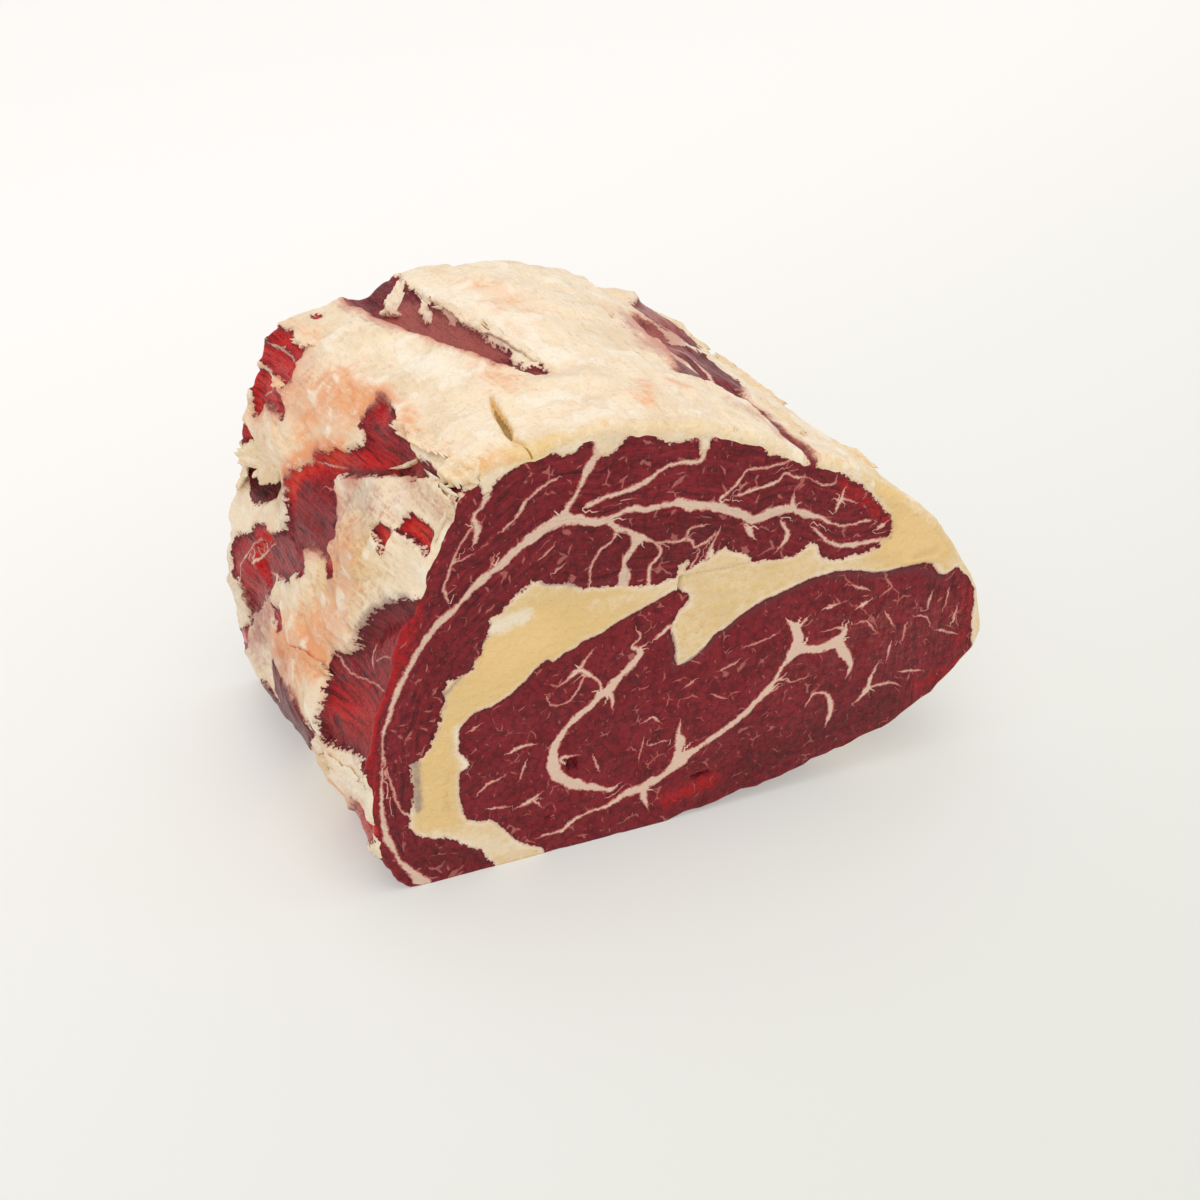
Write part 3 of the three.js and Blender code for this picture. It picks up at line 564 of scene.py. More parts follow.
# Threads of white sinew over the bare meat: (round, back, width).
OUTSIDE_SEAMS = {
    "across the diagonal muscle": ((60, 96.6, 1.4), (65.4, 92.4, 1.2), (71, 86.6, 0.8)),
    "sinew of the flank": ((51, 104.6, 0.9), (57, 103.6, 1.1), (63.4, 100, 0.9), (69, 94.4, 0.7)),
    "second sinew": ((63, 84, 0.8), (65.4, 77, 0.9), (67.4, 71.4, 0.6)),
    "thread in the channel": ((103.4, 63.6, 0.5), (104.6, 57.6, 0.9), (106.8, 55.6, 0.6)),
    "second thread": ((108.4, 70.6, 0.6), (110.6, 63.8, 0.7), (112.4, 58.6, 0.5)),
    "thread by the face": ((63.6, 34, 0.6), (64.4, 22, 0.7), (67.4, 12, 0.6), (69.6, 4, 0.8)),
    "curl by the face": ((71.4, 14, 0.7), (73.6, 17, 1), (76.6, 16.4, 0.7)),
    "streak of the dark meat": ((74, 13, 0.5), (78, 8, 0.7), (80.6, 3, 0.6)),
    "line in the pink strip": ((2, 30, 0.8), (9.6, 21.6, 1), (18, 12.4, 0.8)),
    "white in the corner": ((120.6, 118, 1.8), (121.2, 108, 1.4), (120, 101, 0.9)),
    "second white": ((129.6, 116, 1.2), (130.4, 107, 1), (129, 100, 0.7)),
    "web in the corner": ((112.6, 112, 0.6), (116, 107.6, 1), (119, 108.6, 0.6)),
    "web in the strip": ((232, 79, 0.9), (236.6, 72, 1.1), (238, 62, 0.9), (238.6, 52, 1.3),
        (237, 44, 0.9)),
    "chine sinew": ((350, 10, 1), (356, 34, 1.4), (352, 60, 1), (360, 84, 1.5), (356, 110, 1)),
    "second chine sinew": ((370, 14, 0.8), (366, 40, 1.2), (374, 66, 1), (368, 92, 0.9)),
    "rib side sinew": ((404, 54, 1.2), (430, 56, 1.6), (462, 52, 1.2), (482, 56, 0.8)),
}

# Soft tints of the outside, as those of the cut: what it is, its middle line, its half width and its
# strength.
OUTSIDE_TINTS = {
    "peach of the cap": ("blush", ((120, 108), (121, 84), (124, 68)), 13, 0.78),
    "deep peach by the channel": ("blush", ((134, 76), (136, 63)), 8, 0.5),
    "peach at the channel's corner": ("blush", ((139, 60), (140, 44), (136, 33)), 4, 0.5),
    "orange hem of the channel": ("blush", ((94, 83), (101, 80), (108, 76), (113.6, 71), (118, 61)), 2.6,
        0.8),
    "orange meat at the hem": ("fresh", ((94, 78), (101, 76.6), (107, 72.4), (112, 67.6), (115.6, 61)), 3,
        1.1),
    "red of the channel": ("fresh", ((112, 60), (121, 44)), 6, 0.5),
    "flush of the torn flap": ("blush", ((104, 113), (98, 90)), 8, 0.35),
    "flush at the back corner": ("blush", ((138, 118), (141, 100)), 5, 0.35),
    "flush over the toe": ("blush", ((28, 16), (20, 30), (8, 42)), 5, 0.45),
    "flush at the face": ("blush", ((146, 2), (138, 3)), 4, 0.3),
    "flush by the strip": ("blush", ((166, 34), (164, 50)), 5, 0.5),
    "flush of the top": ("blush", ((186, 92), (190, 74)), 9, 0.4),
    "flush by the burgundy strip": ("blush", ((222, 84), (232, 92)), 6, 0.35),
    "flush under the crack": ("blush", ((164, 10), (176, 8)), 6, 0.3),
    "orange flecks": ("blush", ((192, 13), (200, 26)), 4, 0.55),
    "flecks by the strip": ("blush", ((181, 82), (183, 52)), 2, 0.5),
    "fleck of the crown": ("blush", ((209, 28), (213, 26)), 2.4, 0.7),
    "thin skin by the face": ("film", ((124, 26), (125, 3)), 5, 0.55),
    "pinkish skin by the red flap": ("film", ((114, 24), (113, 34)), 5, 0.4),
    "film on the flank": ("film", ((34, 92), (46, 88), (54, 80)), 8, 0.75),
    "film low on the flank": ("film", ((36, 70), (44, 66)), 6, 0.5),
    "film over the pink strip": ("film", ((8, 28), (22, 16)), 5, 0.55),
    "film on the channel's foot": ("film", ((92, 44), (102, 50), (110, 50)), 5, 0.55),
    "film at the corner": ("film", ((118, 88), (134, 96)), 4, 0.4),
    "film by the strip": ("film", ((154, 112), (158, 88)), 3, 0.5),
    "film over the strip": ("film", ((164, 98), (168, 80), (171, 60)), 6, 1.1),
    "film over the burgundy strip": ("film", ((224, 56), (232, 70), (246, 84), (256, 104)), 8, 1.0),
    "film at the strip's end": ("film", ((176, 37), (181, 32)), 3, 0.4),
    "film round the burgundy strip": ("film", ((226, 74), (231, 86)), 4, 0.6),
    "film of the slope": ("film", ((228, 24), (236, 12)), 5, 0.45),
    "tan of the flank": ("warm", ((50, 62), (62, 46)), 13, 0.7),
    "tan low on the flank": ("warm", ((2, 52), (32, 22)), 10, 0.8),
    "tan of the cap's hem": ("warm", ((106, 92), (112, 80)), 8, 0.3),
    "yellow edge of the cap": ("warm", ((133, 3), (158, 3)), 5, 0.4),
    "warm skin": ("warm", ((98, 30), (84, 40)), 12, 0.9),
    "flush of the skin": ("blush", ((98, 38), (80, 34)), 12, 0.8),
    "flush of the flank": ("blush", ((46, 72), (52, 56), (60, 44)), 12, 1.0),
    "flush low on the flank": ("blush", ((14, 46), (34, 24)), 8, 0.6),
    "thin fat over the channel": ("thin", ((122, 76), (133, 67), (139, 58)), 6, 1.0),
    "thin fat at the hem": ("thin", ((92, 83), (104, 79), (112, 72)), 3, 0.6),
    "thin skin under the channel": ("thin", ((82, 62), (92, 51), (104, 53), (112, 47)), 5, 1.0),
    "thin skin on the flank": ("thin", ((72, 90), (60, 97), (44, 100)), 4, 0.7),
    "thin fat left of the strip": ("thin", ((155, 122), (158, 95), (163, 70), (168, 46)), 3, 1.0),
    "thin fat by the burgundy strip": ("thin", ((238, 92), (228, 68), (219, 42)), 4, 1.0),
    "thin fat beyond it": ("thin", ((246, 44), (242, 24), (241, 4)), 3, 0.8),
    "thin fat at the corner": ("thin", ((106, 110), (118, 94), (137, 99)), 4, 0.7),
    "thin skin low on the flank": ("thin", ((4, 40), (18, 22), (30, 10)), 4, 0.7),
    "thin skin round the dark bundle": ("thin", ((20, 84), (38, 74), (40, 46)), 4, 0.6),
    "warm slope": ("warm", ((276, 10), (286, 60), (280, 110)), 20, 0.7),
    "warm side": ("warm", ((322, 10), (322, 110)), 22, 0.75),
    "warm rib side": ("warm", ((400, 26), (500, 26)), 16, 0.35),
    "warm rib side, back": ("warm", ((400, 84), (500, 84)), 14, 0.35),
    "grey edge of the skin": ("dusk", ((64.4, 35), (67.4, 27), (72, 22.6), (80, 20.4), (89, 17), (95, 10),
        (99, 3)), 2, 0.45),
    "grey of the flank film": ("dusk", ((38, 90), (50, 78)), 8, 0.55),
    "grey by the diagonal": ("dusk", ((82, 92), (86, 80)), 5, 0.3),
    "grey side of the channel": ("dusk", ((102, 50), (110, 46), (114, 40)), 4, 0.4),
    "grey of the skin": ("dusk", ((84, 36), (106, 34)), 12, 0.42),
    "purple of the meat": ("dusk", ((84, 68), (98, 60)), 8, 0.4),
    "purple side": ("dusk", ((44, 26), (44, 6)), 3, 0.5),
    "purple end": ("dusk", ((84, 14), (92, 6)), 7, 0.4),
    "grey on the top, left": ("dusk", ((154, 118), (154, 96)), 3, 0.25),
    "grey by the far strip": ("dusk", ((167, 117), (168, 100)), 2, 0.6),
    "green grey of the top": ("dusk", ((206, 84), (204, 44)), 8, 0.16),
    "grey line at the face": ("dusk", ((181, 18), (184, 5)), 2, 0.3),
    "grey dimple": ("dusk", ((209, 14), (214, 3)), 4, 0.22),
    "vivid red by the face": ("fresh", ((52, 22), (58, 8)), 7, 0.42),
    "vivid edge": ("fresh", ((48, 0), (98, 0)), 2.4, 0.2),
    "vivid tongue": ("fresh", ((76, 58), (80, 56)), 3, 0.7),
    "vivid tail": ("fresh", ((87, 41), (87, 46)), 2, 0.6),
    "vivid upper end": ("fresh", ((134, 58), (134, 50)), 3, 0.35),
    "vivid flank edge": ("fresh", ((72, 92), (60, 98)), 2.5, 0.4),
    # The deep tints here are painted shade: near-black red in the hollow's mouth, under the cap's edge, in
    # the vessel hole and on the channel's side.
    "deep mouth of the hollow": ("deep", ((79, 112), (79, 104)), 2.6, 0.8),
    "deep line under the cap": ("deep", ((131, 6), (130.6, 16), (129, 24)), 1.0, 0.4),
    "vessel hole": ("deep", ((96.4, 51.2), (96.4, 52)), 1.5, 1.6),
    "deep side of the channel": ("deep", ((120, 40), (116, 47), (112, 56)), 2, 0.9),
    "pale smear": ("chalk", ((154, 74), (156, 46)), 4, 0.6),
    "pale smear by the strip": ("chalk", ((183, 50), (188, 44)), 4, 0.5),
    "white over the toe": ("chalk", ((28, 22), (38, 4)), 6, 0.6),
    "white of the brow": ("chalk", ((166, 14), (176, 24)), 7, 0.3),
    "white of the crown": ("chalk", ((186, 60), (176, 96)), 7, 0.25),
}
CAP_STRETCH = ((124, 140), (332, 300))      # where the cap of fat starts, and where it ends
EDGE_OF_THE_CAP, EDGE_WARMTH = (5.5, 1.5), 0.5

# The crack in the cap by the face: its middle line with its half width in millimetres. A warm tint marks
# it: the fat there is yellow, and its dark amber middle is painted shade in the crack's groove.
CAP_CRACK = (
    (158.4, 32, 0.3), (156.5, 26, 0.9), (154.6, 19, 1.2), (152.6, 12, 1.1), (151.4, 8.6, 0.7),
    (152.4, 5, 0.4), (152.6, -2, 0.4))
CRACK_WARMTH_AND_SHADE = 2.2

# Layers of lumps are given as (size, height, number). These draw the edges of the bare patches crooked.
CROOKED_ROUND = ((6, 1.1, 11), (2.2, 0.5, 12))
CROOKED_BACK = ((7, 1.4, 13), (2.4, 0.6, 14))

# Flakes of rubbed fat, large and small: their lumps' size and number, and the height at which a flake
# starts and is full; then how white each is.
FLAKES = ((8, 41, 0.12, 0.3), (3.6, 42, 0.2, 0.36))
FLAKE_WHITES = (0.34, 0.3)

LATTICE = 32                # cubes along each side of the lumps' lattice
RULER_WRAP = 25             # readings this close before the tip count as below zero
FLANK_LEAN, LOW_ON_THE_FLANK = 0.9, (52, 30)      # low on the flank the fibres lean over
OUTSIDE_FRAY, OUTSIDE_MARBLING = 1.5, 0.12
MEAT_SINK = 1.25            # bare meat lies this many times as deep as its entry says


def lumps(places, size, number):
    """Smooth random lumps from -1 to 1, `size` millimetres apart. Random numbers stand at the corners of a
    lattice of cubes, and a place blends its cube's eight corners by the smooth step of its distance along
    each edge. The number seeds them."""
    lattice = np.random.default_rng(number).uniform(-1, 1, (LATTICE,) * 3)
    at = places / size
    cell = np.floor(at).astype(int)
    share = smoothstep(0, 1, at - cell)
    total = 0
    for corner in np.ndindex(2, 2, 2):
        weight = np.prod(np.where(corner, share, 1 - share), axis=-1)
        total = total + weight * lattice[tuple(np.moveaxis((cell + corner) % LATTICE, -1, 0))]
    return total


def relief(places, layers, first=0):
    """The sum of some layers of lumps, each its height times its lumps. Their numbers count on from the
    first."""
    return sum(height * lumps(places, size, first + number) for size, height, number in layers)


def flakes(flat, amounts):
    """How much of a flake of rubbed fat there is: for each size its amount times the smooth step of its
    lumps."""
    return sum(amount * smoothstep(low, high, lumps(flat, size, number))
               for amount, (size, number, low, high) in zip(amounts, FLAKES))


def from_the_tip(round_):
    """The reading round the block, with the last ones before the tip counted below zero."""
    return np.where(round_ > GIRTH - RULER_WRAP, round_ - GIRTH, round_)


def to_the_cut(back):
    """How far a place is from the nearer cut."""
    return np.minimum(back, LENGTH - back)


def over(stretch, round_):
    """1 over a stretch of the outside and 0 off it: the smooth step at its start times the one at its
    end."""
    start, end = stretch
    return smoothstep(*start, round_) * smoothstep(*end, round_)


def across_the_fibres(near, back):
    """The reading round the block, which leans over with the fibres low on the flank."""
    return near + FLANK_LEAN * back * smoothstep(*LOW_ON_THE_FLANK, near)


def cap_crack_at(near, back):
    """Each place's distance to the crack's middle, and the crack's half width there."""
    gap, _, _, half = nearest_on(smooth_curve(CAP_CRACK, steps=6), near, back)
    return gap, half


def bare_meat_at(round_, back):
    """How deep each place lies in bare meat (negative in fat), how far the meat is sunk there, and its
    fresh and dusky tints, summed over the patches by smooth steps of the depth in each."""
    flat = np.column_stack([round_, back, np.zeros(len(back))])
    across, along = round_ + relief(flat, CROOKED_ROUND), back + relief(flat, CROOKED_BACK)
    deepest, sunk, fresh, dusk = np.full(len(back), -40.0), *np.zeros((3, len(back)))
    for ring, depth, ring_fresh, ring_dusk in BARE_MEAT.values():
        middle = np.mean(ring, axis=0)[0]
        depth_in = inside(ring, middle + round_gap(middle, across), along)
        sunk += MEAT_SINK * depth * smoothstep(-0.35, 0.75, depth_in)
        tinted = smoothstep(-1, 2, depth_in)
        fresh += ring_fresh * tinted
        dusk += ring_dusk * tinted
        deepest = np.maximum(deepest, depth_in)
    return deepest, sunk, fresh, dusk


def outside_traits(round_, back):
    """What the meat is at each place of the outside, as cut_traits says it of the cut. The fibres run back
    along the block, and they fade out at the cuts, where the cut face's own begin."""
    traits = {trait: np.zeros(len(back)) for trait in TRAITS}
    near = from_the_tip(round_)
    deepest, _, traits["fresh"], traits["dusk"] = bare_meat_at(near, back)
    traits["fat"] = -deepest
    traits["fray"] += OUTSIDE_FRAY
    traits["marbled"] += OUTSIDE_MARBLING
    traits["gap"] += NO_SEAM
    add_seams(traits, OUTSIDE_SEAMS, near, back)
    add_tints(traits, OUTSIDE_TINTS, near, back)
    crack_gap, crack_half = cap_crack_at(near, back)
    traits["warm"] += CRACK_WARMTH_AND_SHADE * smoothstep(crack_half + 0.3, crack_half - 0.3, crack_gap)
    traits["warm"] += EDGE_WARMTH * smoothstep(*EDGE_OF_THE_CAP, back) * over(CAP_STRETCH, round_)
    traits["chalk"] += flakes(plain_outline(round_, back), FLAKE_WHITES)
    traits["along"] = back
    traits["across"] = across_the_fibres(near, back)
    traits["fibre"] += smoothstep(0.1, 1.6, to_the_cut(back))
    return traits


# ------------------------------------------------------------------------------------------------------------
# The joint's surface. One closed skin over the whole piece of meat: a fine grid over the cut face, rows of
# points round the block behind it, closer together where they show most, and a coarser grid over the back.

MILLIMETRE = 0.001
MIDDLE = 91.0                       # the ruler's reading at the middle of the block
HEART = np.array([86.0, 58.0])      # the point of a section that its rings close in on
FACE_GRID = 200                     # squares across the cut face's grid
BACK_GRID = 67                      # squares across the back's
FINE_COLUMNS = 448      # edges of the face's rim that run on back as columns; the rest join up by fours
EDGE_ROWS = np.array([0.05, 0.25, 0.6, 1.0])      # rows of the rounded edge, in shares of its radius
ROWS, ROW_GRADING = 80, 0.38        # rows between the edges, and how much they widen towards the back

# The rounding of the knife's edge: small where meat was cut, and soft where the cap of fat was.
EDGE_RADIUS, SOFTER_IN_FAT, SOFT_EDGE_STRETCH = 1.1, 2.2, ((128, 136), (322, 300))

# The relief of the outside, as layers of lumps: the lean's bundles and the flank's folds, which are drawn
# out along the block, the knobs all over, and more of them on the chine side.
BUNDLES, BUNDLE_STRETCH = ((3.4, 0.42, 21), (1.7, 0.2, 22)), 0.14
FOLDS, FOLD_STRETCH = ((9, 0.8, 27), (4, 0.35, 28)), 0.4
KNOBS = ((11, 0.55, 23), (5, 0.3, 24), (2.3, 0.13, 25))
CHINE_KNOBS = ((10, 0.8, 43), (4.5, 0.4, 44))
FLANK_STRETCH, START_OF_THE_CHINE = ((-20, 0), (116, 100)), (326, 350)
WRINKLE_SIZE, WRINKLE_STRETCH, WRINKLE_SHARPNESS = 7, 0.45, 6
WRINKLES, FLANK_WRINKLES = 0.5, 0.7
FLAKE_HEIGHTS = (0.34, 0.24)
LIP_HEIGHT, LIP_OFF_THE_MEAT = 0.55, 1.1        # the fat's torn edge curls up beside the bare meat
SUNK_AT_THE_CUT = 0.25                          # at the cuts, only this share of the sinking is left
CAP_CRACK_DEPTH = 3.2
VESSEL_HOLE = ((96.4, 51.6), (0.9, 1.2), 2.2)   # (round, back), how far it reaches, and how deep

# The relief of the cuts. The muscles swell out of them: (x, z), how far each spreads, how far it stands
# out.
CUT_SWELLS = {
    "eye": ((128, 42), (44, 24), 1.6),
    "cap": ((100, 104), (52, 11), 0.9),
    "kernel": ((52, 76), (24, 10), -0.9),
}
CUT_WAVES = ((9, 0.34, 35), (4, 0.16, 36))
GRAIN_SIZE, GRAIN_STRETCH, GRAIN_HEIGHT = 2.2, 0.3, 0.2
KNIFE_MARK_SIZE, KNIFE_MARK_STRETCH, KNIFE_MARK_HEIGHT = 3.2, 0.25, 0.14
FAT_LEVEL, SEAM_LEVEL = 0.35, 0.12

# The back's section differs from the face's by slow lumps across and up.
BACK_DRIFT = (((38, 5, 31), (13, 1.6, 32)), ((34, 4, 33), (12, 1.4, 34)))

# Small pits in the lean, where a vessel was cut: (x, z), how far each reaches, and how deep. Then the
# cracks in the cut fat; the first one's mouth gapes.
PITS = (((58.3, 28.6), (1.5, 2.2), 2.6), ((98.4, 13.8), (2.6, 0.8), 2.4), ((50.6, 12.2), (0.9, 0.6), 1.6))
FAT_CRACKS = (
    ((90.4, 78.6), (90.6, 83.4), (96, 83.2), (105, 83), (113, 83.6)), ((22.5, 36.9), (20.9, 33),
    (20.3, 28.8), (20.6, 25), (21.9, 21.3)))
CRACK_DEPTH, GAPING_MOUTH_DEPTH = 0.5, 1.8

rim_edges = 4 * FACE_GRID
column_edge = np.r_[np.arange(FINE_COLUMNS), np.arange(FINE_COLUMNS, rim_edges + 1, 4)]
column_round = column_edge / rim_edges * GIRTH
columns = len(column_edge) - 1


def edge_radius(round_):
    """How round the knife's edge is."""
    return EDGE_RADIUS + SOFTER_IN_FAT * over(SOFT_EDGE_STRETCH, round_)


def surface(round_, back):
    """A point of the real outside. The plain outline stands out by its swelling, sinks where the fat is
    torn off, and is lumpy. The rounded edge draws it in by r - sqrt(r^2 - (r - e)^2), e being the distance
    to the cut; wrinkles are (1 - |lumps|)^n. What would sink below the table is pressed flat on it."""
    flat, near, to_cut = plain_outline(round_, back), from_the_tip(round_), to_the_cut(back)
    radius = edge_radius(round_)
    inset = radius - np.sqrt(np.maximum(radius**2 - (radius - np.minimum(to_cut, radius)) ** 2, 0))
    deepest, sunk, _, _ = bare_meat_at(near, back)
    sunk *= SUNK_AT_THE_CUT + (1 - SUNK_AT_THE_CUT) * smoothstep(0, 5, to_cut)
    bare = smoothstep(-0.5, 0.8, deepest)
    on_flank = over(FLANK_STRETCH, near)
    leaning, level = across_the_fibres(near, back), np.zeros(len(back))
    bundles = relief(np.column_stack([leaning, back * BUNDLE_STRETCH, level]), BUNDLES)
    folds = relief(np.column_stack([leaning, back * FOLD_STRETCH, level]), FOLDS)
    knobs = relief(flat, KNOBS) + relief(flat, CHINE_KNOBS) * smoothstep(*START_OF_THE_CHINE, round_)
    wrinkles = (1 - np.abs(lumps(flat * [1, WRINKLE_STRETCH, 1], WRINKLE_SIZE, 26))) ** WRINKLE_SHARPNESS
    wrinkles *= WRINKLES + FLANK_WRINKLES * on_flank
    crack_gap, crack_half = cap_crack_at(near, back)
    crack = smoothstep(crack_half + 0.55, crack_half * 0.3, crack_gap) * smoothstep(1, 7, back)
    (hole_round, hole_back), (wide, long), hole_deep = VESSEL_HOLE
    hole = hole_deep * np.exp(-(((near - hole_round) / wide) ** 2) - ((back - hole_back) / long) ** 2)
    lip = LIP_HEIGHT * np.exp(-((deepest + LIP_OFF_THE_MEAT) ** 2)) * smoothstep(0, 3, back)
    height = swelling(round_, back) - inset - sunk - CAP_CRACK_DEPTH * crack - hole + knobs + lip
    height += bundles * bare + (folds * on_flank + flakes(flat, FLAKE_HEIGHTS) - wrinkles) * (1 - bare)
    place = flat + outwards(round_, back) * height[:, None]
    place[:, 2] = np.maximum(place[:, 2], 0)
    return place


def square_grid(squares):
    """A square grid of places by ring and turn: ring is how far out the place is, 0 to 1, and turn how far
    round the square, 0 to 1, starting from its lower left corner and going up."""
    a, b = np.meshgrid(np.linspace(-1, 1, squares + 1), np.linspace(-1, 1, squares + 1), indexing="ij")
    ring = np.maximum(np.abs(a), np.abs(b))
    reach = ring - 1e-9
    safe = np.maximum(ring, 1e-9)
    quarter = np.select(
        [-a > reach, b > reach, a > reach],
        [(b / safe + 1) / 2, 1 + (a / safe + 1) / 2, 2 + (1 - b / safe) / 2],
        3 + (1 - a / safe) / 2)
    return ring.ravel(), (quarter / 4 % 1).ravel()


def grid_faces(index, squares, mirrored):
    """Two triangles for each square of a grid of vertex numbers. Every diagonal points to the grid's
    middle, so no triangle has all three corners on the rim."""
    at = index.reshape(squares + 1, squares + 1)
    p, q, r, s = (corner.ravel() for corner in (at[:-1, :-1], at[1:, :-1], at[1:, 1:], at[:-1, 1:]))
    if mirrored:
        q, s = s, q
    low = np.arange(squares) < squares / 2
    turned = (low[:, None] != low[None, :]).reshape(-1, 1)
    one = np.where(turned, np.column_stack([q, r, s]), np.column_stack([p, q, r]))
    other = np.where(turned, np.column_stack([q, s, p]), np.column_stack([p, r, s]))
    return np.vstack([one, other])


def ring_faces(fine, coarse, fine_at_coarse):
    """Triangles between two rings of vertices. Each edge of the fine ring runs to the nearer end of the
    coarse edge beside it, and each coarse edge to the middle of its fine ones. The coarse ring lies behind
    the fine."""
    count = len(fine)
    edge = np.arange(count)
    beside = np.searchsorted(fine_at_coarse, edge, side="right") - 1
    middle = (fine_at_coarse[:-1] + fine_at_coarse[1:]) // 2
    end = (beside + (edge >= middle[beside])) % len(coarse)
    fans = np.column_stack([fine[edge], fine[(edge + 1) % count], coarse[end]])
    here = np.arange(len(coarse))
    bridges = np.column_stack([fine[middle], coarse[(here + 1) % len(coarse)], coarse[here]])
    return np.vstack([fans, bridges])


# The rows of the outside, from the cut face to the back: first the rounded edge, then wider and wider
# steps.
share = np.linspace(0, 1, ROWS + 1)[:, None]
graded = (1 - ROW_GRADING) * share + ROW_GRADING * share**2
radius = edge_radius(column_round[:-1])[None, :]
between = radius + graded * (LENGTH - 2 * radius)
edge = EDGE_ROWS[:-1, None] * radius
row_back = np.vstack([edge, between, LENGTH - edge[::-1]])
row_round = np.broadcast_to(column_round[:-1], row_back.shape)
rows = len(row_back)
side_round, side_back = row_round.ravel(), row_back.ravel()
side_places = surface(side_round, side_back)


def drawn_in(rim, ring):
    """The places of an end's rings: its rim, drawn in towards the heart by each one's share."""
    return HEART[:, None] + ring * (rim[:, [0, 2]].T - HEART[:, None])


def end_of_block(squares, round_of_turn, back, way):
    """One end of the block. Its muscles swell out by the sum of rise * exp(-d^2), and seams, cut fat, grain
    and knife marks lie at their own levels, fading out at the rim. Gives the places, their traits and the
    grid."""
    ring, turn = square_grid(squares)
    round_ = round_of_turn(turn)
    across, up = drawn_in(surface(round_, np.full(len(ring), back)), ring)
    x, z = across, up
    if back > 0:
        x, z = drawn_in(surface(round_, np.zeros(len(ring))), ring)
        flat = np.column_stack([x, z, np.zeros(len(x))])
        x, z = (start + relief(flat, layers) for start, layers in zip((x, z), BACK_DRIFT))
    traits = cut_traits(x, z)
    places = np.column_stack([across, np.full(len(across), float(back)), up])
    swell = sum(rise * np.exp(-(((x - at_x) / wide) ** 2) - ((z - at_z) / high) ** 2)
                for (at_x, at_z), (wide, high), rise in CUT_SWELLS.values())
    in_fat = smoothstep(-0.4, 0.6, traits["fat"])
    in_seam = smoothstep(0.5, -0.3, traits["gap"] - traits["half"])
    grain_at = np.column_stack([traits["across"], traits["along"] * GRAIN_STRETCH, up * 0])
    grain = lumps(grain_at, GRAIN_SIZE, 37) * traits["fibre"] * GRAIN_HEIGHT
    knife_marks = lumps(places * [KNIFE_MARK_STRETCH, 1, 1], KNIFE_MARK_SIZE, 38) * KNIFE_MARK_HEIGHT
    level = FAT_LEVEL * in_fat + SEAM_LEVEL * in_seam + relief(places, CUT_WAVES)
    level += (1 - in_fat) * grain + in_fat * knife_marks
    for (pit_x, pit_z), (wide, high), deep in PITS:
        level -= deep * np.exp(-(((x - pit_x) / wide) ** 4) - ((z - pit_z) / high) ** 4)
    level -= GAPING_MOUTH_DEPTH * smoothstep(0.7, 0.2, nearest_on(FAT_CRACKS[0][:2], x, z)[0])
    for crack in FAT_CRACKS:
        level -= CRACK_DEPTH * smoothstep(0.5, 0.1, nearest_on(crack, x, z)[0])
    traits["fibre"] *= smoothstep(1, 0.985, ring)
    places[:, 1] += way * (swell * (1 - ring**4) + level * smoothstep(1, 0.92, ring))
    return places, traits, ring, turn


def rim_of(index, ring, turn, count):
    """The vertex numbers along a grid's rim, in the order of their turn."""
    on_rim = np.flatnonzero(ring > 1 - 1e-9)
    return index[on_rim[np.argsort(np.round(turn[on_rim] * count).astype(int) % count)]]


face_places, face_traits, face_ring, face_turn = end_of_block(FACE_GRID, lambda turn: turn * GIRTH, 0, -1)
back_places, back_traits, back_ring, back_turn = end_of_block(
    BACK_GRID, lambda turn: np.interp(turn * columns, np.arange(columns + 1), column_round), LENGTH, 1)

# The sides' places come first in the mesh, then the face's and the back's.
side_index = np.arange(len(side_places)).reshape(rows, columns)
face_index = len(side_places) + np.arange(len(face_places))
back_index = len(side_places) + len(face_places) + np.arange(len(back_places))
here, there = side_index[:-1], side_index[1:]
here_next, there_next = np.roll(here, -1, axis=1), np.roll(there, -1, axis=1)
faces = np.vstack([
    np.column_stack([here.ravel(), here_next.ravel(), there_next.ravel()]),
    np.column_stack([here.ravel(), there_next.ravel(), there.ravel()]),
    grid_faces(face_index, FACE_GRID, mirrored=False),
    grid_faces(back_index, BACK_GRID, mirrored=True),
    ring_faces(rim_of(face_index, face_ring, face_turn, rim_edges), side_index[0], column_edge),
    ring_faces(side_index[-1], rim_of(back_index, back_ring, back_turn, 4 * BACK_GRID),
               np.arange(0, columns + 1, 2))])
side_traits = outside_traits(side_round, side_back)
places = np.vstack([side_places, face_places, back_places])
traits = {trait: np.concatenate([part[trait] for part in (side_traits, face_traits, back_traits)])
          for trait in TRAITS}


def piece_of(name, places, faces, traits):
    """A piece of the part from its places on the rulers, its triangles and its traits, one number for each
    vertex. The frame's middle lies at the ruler's MIDDLE, half way back."""
    mesh = bpy.data.meshes.new(name)
    mesh.vertices.add(len(places))
    in_frame = (places - [MIDDLE, LENGTH / 2, 0]) * MILLIMETRE
    mesh.vertices.foreach_set("co", in_frame.astype(np.float32).ravel())
    mesh.loops.add(faces.size)
    mesh.loops.foreach_set("vertex_index", faces.astype(np.int32).ravel())
    mesh.polygons.add(len(faces))
    mesh.polygons.foreach_set("loop_start", np.arange(0, faces.size, 3, dtype=np.int32))
    mesh.update(calc_edges=True)
    mesh.shade_smooth()
    for trait, values in traits.items():
        noted = mesh.attributes.new(trait, "FLOAT", "POINT")
        noted.data.foreach_set("value", values.astype(np.float32))
    piece = bpy.data.objects.new(name, mesh)
    bpy.context.collection.objects.link(piece)
    return piece


joint = piece_of("ribeye_joint", places, faces, traits)
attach(joint, "root")
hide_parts("ribeye")


# ------------------------------------------------------------------------------------------------------------
# The meat's finish. Lean is deep red, in fibres and bundles with fine threads of fat between them; fat is
# ivory to yellow, waxy and a little smeared. Their edge is ragged, so noise is added to the depth in fat
# before it is cut off.

